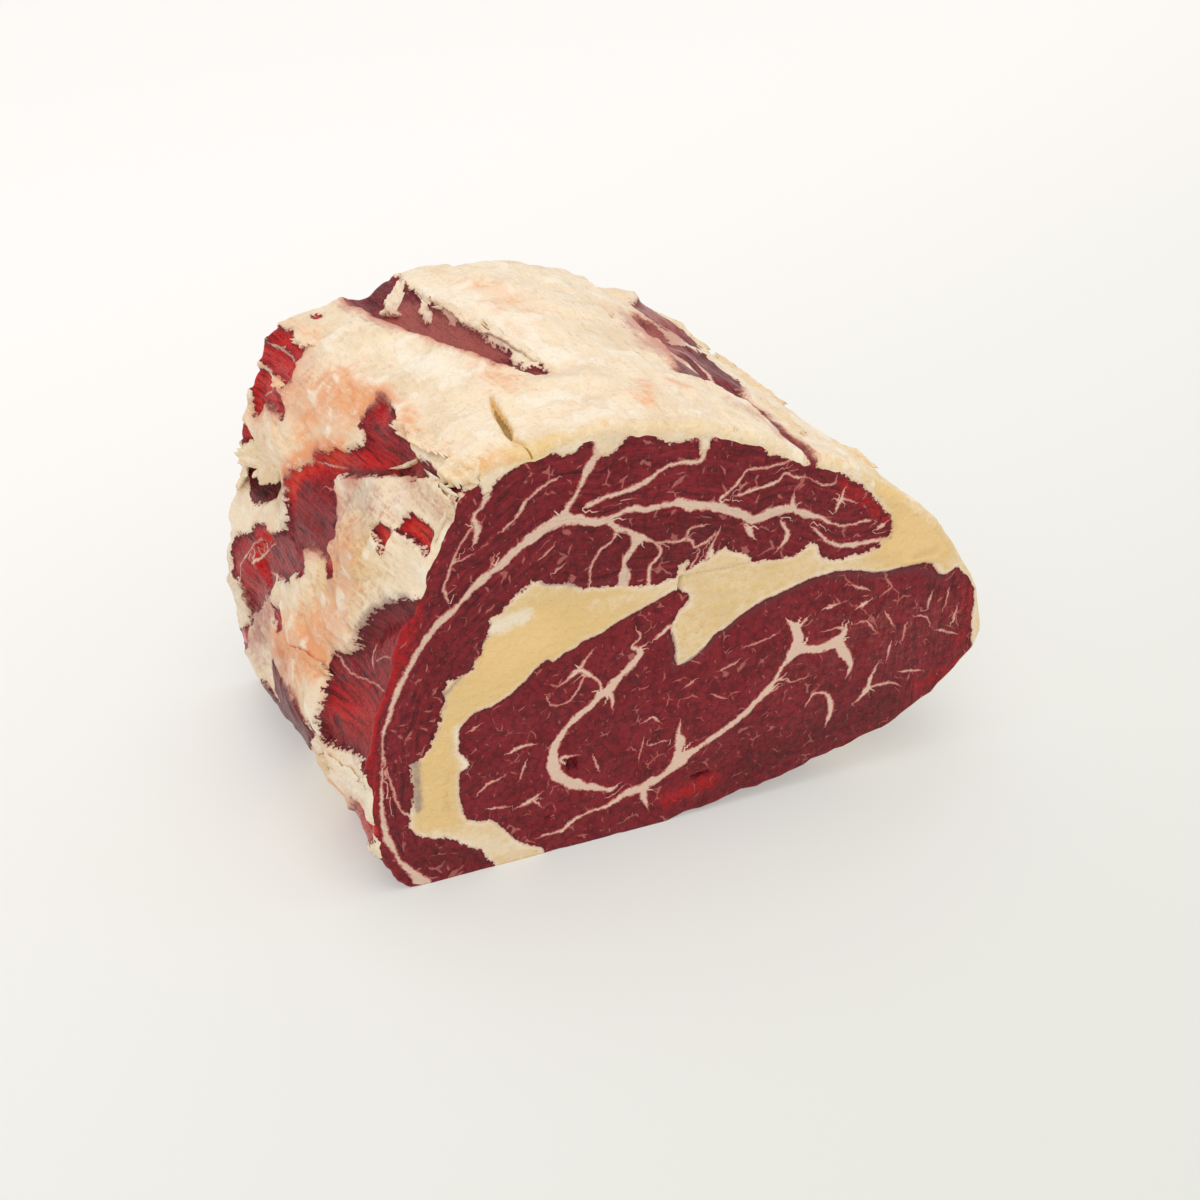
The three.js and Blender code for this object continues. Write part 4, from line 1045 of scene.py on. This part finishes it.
class Finish:
    """A material under way: adds nodes, and joins each to the sockets or numbers that it is given."""

    def __init__(self, name):
        self.material = bpy.data.materials.new(name)
        self.material.use_nodes = True
        self.tree = self.material.node_tree
        self.tree.nodes.clear()

    def join(self, value, socket):
        if isinstance(value, bpy.types.NodeSocket):
            self.tree.links.new(value, socket)
        else:
            socket.default_value = value

    def node(self, kind, inputs=(), **settings):
        node = self.tree.nodes.new(kind)
        for setting, value in settings.items():
            setattr(node, setting, value)
        for socket, value in dict(inputs).items():
            self.join(value, node.inputs[socket])
        return node

    def trait(self, name):
        return self.node("ShaderNodeAttribute", attribute_name=name).outputs["Fac"]

    def maths(self, operation, *values, clamp=False):
        node = self.node("ShaderNodeMath", enumerate(values), operation=operation, use_clamp=clamp)
        return node.outputs[0]

    def total(self, *terms):
        """The sum of value times share over the (value, share) terms."""
        result = 0.0
        for value, amount in terms:
            result = self.maths("MULTIPLY_ADD", value, amount, result)
        return result

    def step(self, low, high, value):
        """The smooth step from low to high, as a number from 0 to 1."""
        ends = {"Value": value, "From Min": low, "From Max": high}
        return self.node("ShaderNodeMapRange", ends, interpolation_type="SMOOTHSTEP").outputs["Result"]

    def vector(self, x, y, z):
        return self.node("ShaderNodeCombineXYZ", {0: x, 1: y, 2: z}).outputs[0]

    def noise(self, place, size, detail, **settings):
        """Noise from about -1 to 1 with lumps of `size` millimetres: Blender's runs from about 0.25 to
        0.75."""
        asked = {"Vector": place, "Scale": 1 / size, "Detail": float(detail), "Roughness": 0.58}
        noise = self.node("ShaderNodeTexNoise", asked, **settings)
        return self.maths("MULTIPLY_ADD", noise.outputs["Fac"], 4.0, -2.0)

    def cells(self, place, size, feature):
        """Cells of about `size` millimetres."""
        asked = {"Vector": place, "Scale": 1 / size}
        return self.node("ShaderNodeTexVoronoi", asked, feature=feature).outputs

    def blend(self, share, first, second):
        mix = self.node("ShaderNodeMix", {"Factor": share}, data_type="RGBA")
        self.join(first, mix.inputs[6])
        self.join(second, mix.inputs[7])
        return mix.outputs[2]

    def layered(self, colour, layers):
        """The colour with others laid over it one by one, each given with the share that it covers."""
        for share, coat in layers:
            colour = self.blend(share, colour, coat)
        return colour


def paint(red, green, blue):
    """A colour given as on a screen, 0 to 255, worked out as an amount of light: ((c + 0.055) /
    1.055)^2.4."""
    light = ((np.array([red, green, blue]) / 255 + 0.055) / 1.055) ** 2.4
    return (*light.tolist(), 1.0)


# Dark lean also paints shade on the lean beside the fat's edge.
LEAN, CAP_LEAN, DARK_LEAN_AND_EDGE_SHADE = paint(132, 27, 38), paint(120, 18, 29), paint(66, 8, 17)
LIGHT_LEAN, FRESH_LEAN, ORANGE_LEAN = paint(168, 45, 52), paint(208, 14, 17), paint(230, 60, 32)
# The darkest lean colour also paints shade into the outside's hollows and under its edges.
DUSKY_LEAN, DARKEST_LEAN_AND_SHADE = paint(112, 44, 50), paint(34, 9, 12)
IVORY, CHALK, GLASSY_FAT = paint(248, 227, 196), paint(252, 240, 220), paint(234, 208, 174)
YELLOW_FAT, TAN_FAT, PEACH = paint(235, 200, 137), paint(250, 212, 150), paint(239, 168, 118)
ORANGE_FAT, GREY_FAT, SEAM_FAT = paint(228, 114, 70), paint(160, 138, 126), paint(236, 204, 182)
VEIN_FAT, FILM_PINK = paint(198, 114, 106), paint(192, 108, 98)
THIN_FAT, CRACK_AMBER_AND_SHADE = paint(218, 136, 108), paint(150, 112, 46)
VEIN_CELL, BUNDLE_CELL = 5.6, 1.9       # millimetres between fine veins, and between bundles of fibres
STRAND_STRETCH = 0.12                   # the strands are drawn out along the fibres
MEAT_ROUGHNESS, BUMP_DEPTH = 0.34, 0.0011

beef = Finish("raw_beef")
object_place = beef.node("ShaderNodeTexCoord").outputs["Object"]
in_millimetres = {0: object_place, "Scale": 1 / MILLIMETRE}
place = beef.node("ShaderNodeVectorMath", in_millimetres, operation="SCALE").outputs[0]
(fat, fray, side, gap, half, marbled, along, across, fibre,
 fresh, deep, dusk, blush, warm, chalk, film, thin) = (beef.trait(name) for name in TRAITS)

# Noise that several parts of the finish share, each counted from about -1 to 1.
slow_mottle = beef.noise(place, 15, 2)
mottle = beef.noise(place, 5.5, 2)
ragged = beef.noise(place, 2.4, 2)
fine = beef.noise(place, 0.7, 1)
strand_place = beef.vector(beef.maths("MULTIPLY", along, STRAND_STRETCH), across, 0.0)
strands = beef.maths("MULTIPLY", beef.noise(strand_place, 1.3, 3, noise_dimensions="2D"), fibre)

# Where it is fat. Thin fat has a wide soft edge.
edge_noise = beef.total((ragged, 0.65), (fine, 0.3), (mottle, 0.4), (strands, 0.34))
fat_depth = beef.maths("MULTIPLY_ADD", edge_noise, fray, fat)
soft = beef.total((thin, 1.7), (1.0, 0.15))
is_fat = beef.step(beef.maths("MULTIPLY", soft, -1.0), soft, fat_depth)

# Where a seam runs through the lean: its middle wanders by noise, and its width comes and goes.
seam_off = beef.maths("ABSOLUTE", beef.total((side, 1.0), (ragged, 0.36), (fine, 0.2)))
seam_wide = beef.maths("MULTIPLY", half, beef.total((mottle, 0.4), (1.0, 1.0)))
seam_depth = beef.maths("SUBTRACT", seam_wide, seam_off)
by_seam = beef.step(1.9, 1.3, beef.maths("SUBTRACT", gap, half))
is_seam = beef.maths("MULTIPLY", beef.step(-0.15, 0.15, seam_depth), by_seam)

# Where a fine vein, a fleck of fat or a bundle of fibres is. The veins are the walls of warped cells.
drift = beef.vector(beef.maths("MULTIPLY", mottle, 1.1), slow_mottle, beef.maths("MULTIPLY", ragged, 0.6))
warped = beef.node("ShaderNodeVectorMath", {0: place, 1: drift}, operation="ADD").outputs[0]
vein_wall = beef.cells(warped, VEIN_CELL, "DISTANCE_TO_EDGE")["Distance"]
vein_off = beef.maths("MULTIPLY", vein_wall, VEIN_CELL)
vein_here = beef.step(0.1, 0.9, beef.noise(place, 4.2, 1))
vein_wide = beef.maths("MULTIPLY", vein_here, beef.maths("MULTIPLY", marbled, 0.44))
is_vein = beef.step(0.05, -0.14, beef.maths("SUBTRACT", vein_off, vein_wide))
bundle = beef.cells(warped, BUNDLE_CELL, "F1")
flattened = beef.node("ShaderNodeMapping", {"Vector": warped, "Scale": (1.0, 1.0, 0.55)}).outputs[0]
is_fleck = beef.step(0.78, 0.98, beef.noise(flattened, 1.15, 1))
is_fleck = beef.maths("MULTIPLY", is_fleck, beef.step(0.2, 0.6, marbled))
vein_share, fleck_share = beef.maths("MULTIPLY", is_vein, 0.7), beef.maths("MULTIPLY", is_fleck, 0.5)
threads = beef.maths("MAXIMUM", vein_share, fleck_share, clamp=True)


def amount(low, high, value, strength):
    """How much of a coat lies where a value is high: the smooth step times the coat's strength."""
    return beef.maths("MULTIPLY", beef.step(low, high, value), strength)


def uneven(tint, low, high, strength=1.0):
    """A tint's share, from low to high, with ragged and streaky edges."""
    worn = beef.total((tint, 1.0), (ragged, 0.2), (strands, 0.16), (fine, 0.1))
    return amount(low, high, worn, strength)


# The lean's colour: bundles of fibres, lighter and darker strands, wet and dried places, threads of fat,
# and painted shade in hollows and beside the fat's edge.
dark_in_fresh = beef.maths("MULTIPLY", amount(-0.1, -0.7, strands, 0.6), beef.step(0.1, 0.8, fresh))
under_thin_fat = beef.maths("MULTIPLY", thin, amount(-3.0, 0.3, fat_depth, 0.3), clamp=True)
lean = beef.layered(LEAN, (
    (beef.step(-0.6, 0.6, slow_mottle), CAP_LEAN),
    (beef.maths("MULTIPLY", bundle["Color"], 0.2), LIGHT_LEAN),
    (amount(0.42, 0.75, bundle["Distance"], 0.5), DARK_LEAN_AND_EDGE_SHADE),
    (amount(0.0, 1.0, mottle, 0.42), DARK_LEAN_AND_EDGE_SHADE),
    (amount(0.1, 0.8, strands, 0.5), LIGHT_LEAN),
    (amount(-0.1, -0.8, strands, 0.8), DARK_LEAN_AND_EDGE_SHADE),
    (amount(0.35, 0.9, fine, 0.2), LIGHT_LEAN),
    (uneven(fresh, 0.1, 0.9, 0.85), FRESH_LEAN),
    (uneven(fresh, 0.8, 1.5, 0.8), ORANGE_LEAN),
    (uneven(dusk, 0.1, 0.95, 0.8), DUSKY_LEAN),
    (dark_in_fresh, DARK_LEAN_AND_EDGE_SHADE),
    (threads, VEIN_FAT),
    # Painted shade in the outside's hollows and under the cap's edge; on the cut, the deep tint darkens the
    # cap's middle and the foot of both muscles.
    (uneven(deep, 0.0, 1.2, 0.85), DARKEST_LEAN_AND_SHADE),
    (uneven(film, 0.1, 0.9, 0.6), FILM_PINK),
    (under_thin_fat, FILM_PINK),
    # Painted shade: the lean just outside the fat's edge is darkened, as in the shadow of the fat's step.
    (amount(-0.9, -0.1, fat_depth, 0.4), DARK_LEAN_AND_EDGE_SHADE)))

# The fat's colour: smeared and glassy places, yellow, flushed and grey ones, and a pinker, thinner edge.
patchy_blush = beef.total((blush, 1.0), (slow_mottle, -0.2), (mottle, 0.16))
thin_edge = beef.maths("MULTIPLY", thin, amount(4.0, 0.0, fat_depth, 0.9), clamp=True)
cream = beef.layered(IVORY, (
    (amount(-0.5, 0.8, slow_mottle, 0.85), GLASSY_FAT),
    (amount(0.0, 0.9, mottle, 0.5), CHALK),
    (amount(0.2, 1.0, strands, 0.25), GLASSY_FAT),
    (uneven(warm, 0.1, 1.1), YELLOW_FAT),
    (uneven(warm, 0.75, 1.6, 0.8), TAN_FAT),
    (uneven(patchy_blush, 0.05, 1.0), PEACH),
    (uneven(blush, 0.9, 1.7, 0.9), ORANGE_FAT),
    (uneven(dusk, 0.1, 1.0, 0.85), GREY_FAT),
    (uneven(chalk, 0.15, 0.8, 0.8), CHALK),
    (uneven(film, 0.1, 0.9, 0.65), FILM_PINK),
    # Painted shade: where the warm tint is strongest, in the cap's crack, the fat turns dark amber.
    (amount(1.6, 2.4, warm, 0.9), CRACK_AMBER_AND_SHADE),
    (thin_edge, THIN_FAT),
    (amount(0.9, 0.0, fat_depth, 0.4), VEIN_FAT)))

seam_colour = beef.blend(beef.step(0.1, 0.6, seam_depth), VEIN_FAT, SEAM_FAT)
colour = beef.layered(lean, ((beef.maths("MULTIPLY", is_seam, 0.96), seam_colour), (is_fat, cream)))

# The feel: how rough it is, and the relief too fine for the mesh.
rough = beef.total((1.0, MEAT_ROUGHNESS), (fine, 0.06), (mottle, 0.05), (is_seam, 0.06))
rough = beef.maths("SUBTRACT", rough, amount(0.2, 1.0, fresh, 0.12))
lean_relief = beef.total((strands, 0.28), (fine, 0.07), (ragged, 0.12))
fat_relief = beef.total((ragged, 0.2), (fine, 0.035), (strands, 0.07), (1.0, 0.2))
reliefs = {0: beef.step(-0.3, 0.3, fat), 2: lean_relief, 3: fat_relief}
fine_relief = beef.node("ShaderNodeMix", reliefs, data_type="FLOAT").outputs[0]
bump = beef.node("ShaderNodeBump", {"Strength": 1.0, "Distance": BUMP_DEPTH, "Height": fine_relief})
shader = beef.node("ShaderNodeBsdfPrincipled", {
    "Base Color": colour, "Roughness": rough, "Normal": bump.outputs[0],
    "IOR": 1.4, "Specular IOR Level": 0.26, "Coat Weight": 0.12, "Coat Roughness": 0.14, "Coat IOR": 1.38})
beef.node("ShaderNodeOutputMaterial", {"Surface": shader.outputs[0]})
joint.data.materials.append(beef.material)


# ------------------------------------------------------------------------------------------------------------
# Torn fat and skin. Tongues of it hang on to the block by one long edge and stand off it along the other,
# where they end in teeth and crumbs; smaller shreds and a curled thread lie where the fat was pulled away.

# Each tongue: where its middle is, (round, back), its length, width and thickness, which way it lies in
# degrees (at 0 it runs back along the block, with its free edge towards the toe), how far its free edge and
# its ends stand off, how ragged it is, and its tints.
TONGUES = {
    "torn_flap_over_the_hollow": ((91, 107), (18, 12, 2.6), -4, 4.4, 0.6, 0.34, {"warm": 0.25}),
    "torn_flap_in_the_hollow": ((80, 117), (10, 8, 2.0), 84, 3.0, 0.4, 0.34, {"warm": 0.2}),
    "hem_of_the_cap_by_the_channel": ((136.5, 26), (34, 5.5, 1.8), 4, 1.2, 0.2, 0.3,
        {"warm": 0.2, "blush": 0.2}),
    "corner_of_the_cap_by_the_face": ((136, 5.5), (11, 11, 2.6), 4, 1.6, 0.3, 0.22, {"warm": 0.3}),
    "skin_beside_the_face": ((124.6, 11), (25, 11, 1.6), 184, 1.6, 0.35, 0.1, {"film": 0.15, "warm": 0.3}),
    "rolled_edge_of_the_skin": ((129.4, 12), (23, 2.6, 2.2), 184, 1.2, 0.3, 0.14, {"chalk": 0.6}),
    "front_edge_of_the_skin": ((123, 2.2), (13, 2.6, 1.8), 90, 0.8, 0.2, 0.16, {"chalk": 0.4}),
    "curl_in_the_channel": ((126, 34), (15, 2.4, 1.8), 36, 1.2, 0.6, 0.3, {"warm": 0.3, "blush": 0.2}),
    "skin_on_the_flank": ((54, 46), (36, 7, 1.1), 196, 0.7, 0.2, 0.3, {"warm": 0.3, "blush": 0.4}),
    "skin_over_the_toe": ((36, 14), (24, 8, 1.3), 192, 1.0, 0.3, 0.26, {"warm": 0.2, "chalk": 0.4}),
    "skin_of_the_foot": ((24, 36), (40, 7, 1.1), 218, 0.8, 0.2, 0.3, {"warm": 0.3}),
    "shred_across_the_strip": ((165.5, 106), (15, 5, 2.4), -46, 2.0, 0.5, 0.42,
        {"chalk": 0.4, "blush": 0.1}),
    "shred_beside_the_strip": ((169.5, 93), (11, 3.4, 1.6), -24, 1.5, 0.4, 0.44, {"chalk": 0.4}),
    "crumb_in_the_strip": ((163, 101), (5, 3.4, 2.2), 10, 1.4, 0.4, 0.4, {"chalk": 0.3, "blush": 0.2}),
    "hem_of_the_strip": ((178.6, 60), (28, 4.6, 1.4), 6, 1.0, 0.2, 0.4, {"chalk": 0.3, "blush": 0.15}),
    "hem_of_the_strip_further_back": ((174, 82), (26, 4, 1.2), 8, 0.8, 0.2, 0.4, {"chalk": 0.2}),
    "flake_at_the_far_corner": ((137, 104), (10, 5, 1.6), 12, 1.2, 0.4, 0.36, {"blush": 0.2, "chalk": 0.3}),
    "flake_in_the_corner": ((121, 104), (12, 3, 1.4), 4, 1.0, 0.3, 0.34, {"blush": 0.2}),
    "crest_at_the_back": ((264, 101), (26, 5, 1.3), 194, 1.1, 0.3, 0.36, {"warm": 0.2, "blush": 0.1}),
    "crest_in_the_middle": ((273, 74), (34, 6, 1.5), 187, 1.4, 0.3, 0.4, {"warm": 0.25, "blush": 0.15}),
    "crest_further_on": ((281, 46), (9, 4, 1.3), 168, 1.0, 0.3, 0.42, {"warm": 0.2}),
    "crest_at_the_front": ((273, 25), (22, 4.4, 1.3), 176, 1.2, 0.3, 0.36, {"warm": 0.25, "blush": 0.1}),
    "flap_on_the_slope": ((250, 30), (22, 5, 1.2), 176, 0.9, 0.2, 0.34, {"warm": 0.4}),
    "hem_of_the_burgundy_strip": ((224, 62), (30, 5, 1.2), 200, 0.8, 0.2, 0.34, {"film": 0.3}),
    "nub_on_the_nose": ((341, 5), (5, 5, 3.6), 0, 1.3, 0, 0.24, {"blush": 0.4}),
    "skin_of_the_chine": ((340, 60), (54, 8, 1.4), 4, 1.0, 0.3, 0.3, {"warm": 0.4}),
    "flap_of_the_chine": ((384, 66), (34, 7, 1.4), 188, 1.0, 0.3, 0.3, {"warm": 0.4}),
}
TONGUE_GRID = 34            # squares across each side of a tongue
ROOT_SINK = 0.9             # how far a tongue's rooted edge lies in the block
ROOT_RAGGEDNESS = 0.35      # how ragged the root is, for a free edge of 1
TEARS = ((0.42, 1, 0), (0.15, 0.8, 1), (0.06, 0.4, 5))      # lumps of the rim, sized in shares of its radius
CRUMPLES = ((5, 0.7, 2),)
TONGUE_KNOBS = ((2.4, 0.6, 3), (1.1, 0.4, 4))
TABLE_GAP = 0.05            # the tongues stay this far above the table
FIRST_NUMBER, NUMBERS_EACH = 50, 7      # of the lumps that each tongue draws
TINTS_LEFT_OUT = ("fresh", "deep", "thin")      # of the block's tints, a tongue takes over all but these,
TINT_SHARE = 0.5                                # at this share of their strength
TONGUE_FAT = 4              # how deep in fat it all is


def tongue(at, size, turn, stand, curl, raggedness, first):
    """A tongue of fat: a flattened ball laid on the outside. Its rim's radius is made ragged by lumps round
    it, more so at the free edge. Its middle height is stand * free^1.5 + curl * along^2 - sink * (1 -
    free), where free runs from 0 at the root to 1 at the free edge; top and bottom stand off that by half
    the thickness, times sqrt(1 - ring^3)."""
    (round_, back), (length, width, thickness), angle = at, size, math.radians(turn)
    ring, part = square_grid(TONGUE_GRID)
    heading = 2 * math.pi * part
    circle = np.column_stack([np.cos(heading), np.sin(heading), np.full(len(ring), float(first))])
    free_side = ROOT_RAGGEDNESS + (1 - ROOT_RAGGEDNESS) * smoothstep(-0.4, 0.5, circle[:, 1])
    reach = ring * (1 + raggedness * relief(circle, TEARS, first) * free_side * ring**2)
    along, aside = reach * circle[:, 0], reach * circle[:, 1]
    forth, sideways = along * length / 2, aside * width / 2
    there_round = round_ - forth * math.sin(angle) - sideways * math.cos(angle)
    there_back = np.clip(back + forth * math.cos(angle) - sideways * math.sin(angle), 0, LENGTH)
    free = np.clip((1 + aside) / 2, 0, 1)
    crumple = np.column_stack([there_round, there_back, np.full(len(ring), NUMBERS_EACH * float(first))])
    level = stand * free**1.5 + curl * along**2 - ROOT_SINK * (1 - free)
    level += relief(crumple, CRUMPLES, first) * free
    plump = np.sqrt(np.maximum(1 - ring**3, 0)) * thickness / 2
    base, out = surface(np.mod(there_round, GIRTH), there_back), outwards(there_round, there_back)
    top = base + out * (level + plump * (1 + relief(crumple, TONGUE_KNOBS, first)))[:, None]
    under = base + out * (level - plump)[:, None]
    inner = np.flatnonzero(ring < 1 - 1e-9)
    place_of_under = np.arange(len(ring))
    place_of_under[inner] = len(ring) + np.arange(len(inner))
    places = np.vstack([top, under[inner]])
    places[:, 2] = np.maximum(places[:, 2], TABLE_GAP)
    faces = np.vstack([
        grid_faces(np.arange(len(ring)), TONGUE_GRID, mirrored=True),
        grid_faces(place_of_under, TONGUE_GRID, mirrored=False)])
    rounds, backs = (np.concatenate([there, there[inner]]) for there in (there_round, there_back))
    return places, faces, rounds, backs


for number, (name, (*shape, tints)) in enumerate(TONGUES.items()):
    places, faces, rounds, backs = tongue(*shape, FIRST_NUMBER + NUMBERS_EACH * number)
    traits = {trait: np.zeros(len(rounds)) for trait in TRAITS}
    add_tints(traits, OUTSIDE_TINTS, rounds, backs)
    for trait in TRAITS:
        traits[trait] *= 0 if trait in TINTS_LEFT_OUT else TINT_SHARE
    for trait, strength in tints.items():
        traits[trait] += strength
    traits["fat"] += TONGUE_FAT
    traits["gap"] += NO_SEAM
    traits["fibre"] += 1
    traits["along"], traits["across"] = backs, rounds
    shred = piece_of(name, places, faces, traits)
    shred.data.materials.append(beef.material)
    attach(shred, "root")


# ------------------------------------------------------------------------------------------------------------
# The table, the light and the camera. A plain pale sheet, a wide soft lamp overhead, a weaker one in front
# on the left, and an even light from all round. The camera looks down 32 degrees, from the left of the cut
# face.

TABLE_HALF = 6.0            # metres from the sheet's middle to its edges
FLOOR_LIGHT, FLOOR_SHADE, BLACK = paint(252, 249, 247), paint(224, 226, 219), paint(0, 0, 0)
FLOOR_FAR, FLOOR_NEAR, FLOOR_SLANT = 0.5, -0.45, -0.35      # where the sheet's shade starts and is full
TABLE_GLOW, TABLE_DIM = 0.4, 0.38       # the sheet is lit from below as well, so the shadows on it stay pale
LAMPS = {       # where each stands, its size and its power
    "lamp_overhead": ((0.1, -0.1, 2.0), 1.7, 13.0),
    "lamp_in_front": ((-0.9, -1.5, 1.3), 1.2, 3.5),
}
ROOM_COLOUR, ROOM_LIGHT = (1.0, 0.985, 0.965, 1), 0.76
CAMERA_PLACE = np.array([-210.882, -502.831, 381.921])
CAMERA_TURN, CAMERA_DOWN = -22.85157, 32.0
LENS, SENSOR = 63.0, 36.0

table_mesh = bpy.data.meshes.new("table_top")
corners = [(x * TABLE_HALF, y * TABLE_HALF, 0) for x, y in ((-1, -1), (1, -1), (1, 1), (-1, 1))]
table_mesh.from_pydata(corners, [], [(0, 1, 2, 3)])
table_top = bpy.data.objects.new("table_top", table_mesh)
bpy.context.collection.objects.link(table_top)
sheet = Finish("pale_table")
sheet_place = sheet.node("ShaderNodeTexCoord").outputs["Object"]
where = sheet.node("ShaderNodeSeparateXYZ", {0: sheet_place}).outputs
nearness = sheet.step(FLOOR_FAR, FLOOR_NEAR, sheet.total((where[1], 1.0), (where[0], FLOOR_SLANT)))
pale = sheet.blend(nearness, FLOOR_LIGHT, FLOOR_SHADE)
sheet_shader = sheet.node("ShaderNodeBsdfPrincipled", {
    "Base Color": sheet.blend(TABLE_DIM, pale, BLACK), "Roughness": 0.7, "Specular IOR Level": 0.1,
    "Emission Color": pale, "Emission Strength": TABLE_GLOW})
sheet.material.cycles.emission_sampling = "NONE"
sheet.node("ShaderNodeOutputMaterial", {"Surface": sheet_shader.outputs[0]})
table_mesh.materials.append(sheet.material)

scene = bpy.context.scene
scene.view_settings.view_transform = "Standard"
scene.world = scene.world or bpy.data.worlds.new("room")
scene.world.use_nodes = True
room = scene.world.node_tree.nodes["Background"]
room.inputs["Color"].default_value = ROOM_COLOUR
room.inputs["Strength"].default_value = ROOM_LIGHT
for name, (spot, size, power) in LAMPS.items():
    lamp = bpy.data.lights.new(name, "AREA")
    lamp.size, lamp.energy = size, power
    holder = bpy.data.objects.new(lamp.name, lamp)
    holder.location = spot
    holder.rotation_euler = (-Vector(spot)).to_track_quat("-Z", "Y").to_euler()
    bpy.context.collection.objects.link(holder)

camera = bpy.data.cameras.new("camera")
camera.lens, camera.sensor_width = LENS, SENSOR
viewer = bpy.data.objects.new("camera", camera)
turn, down = math.radians(CAMERA_TURN), math.radians(CAMERA_DOWN)
away = Vector((math.sin(turn) * math.cos(down), -math.cos(turn) * math.cos(down), math.sin(down)))
camera_spot = Matrix.Translation(Vector(CAMERA_PLACE * MILLIMETRE))
viewer.matrix_world = camera_spot @ away.to_track_quat("Z", "Y").to_matrix().to_4x4()
bpy.context.collection.objects.link(viewer)
scene.camera = viewer
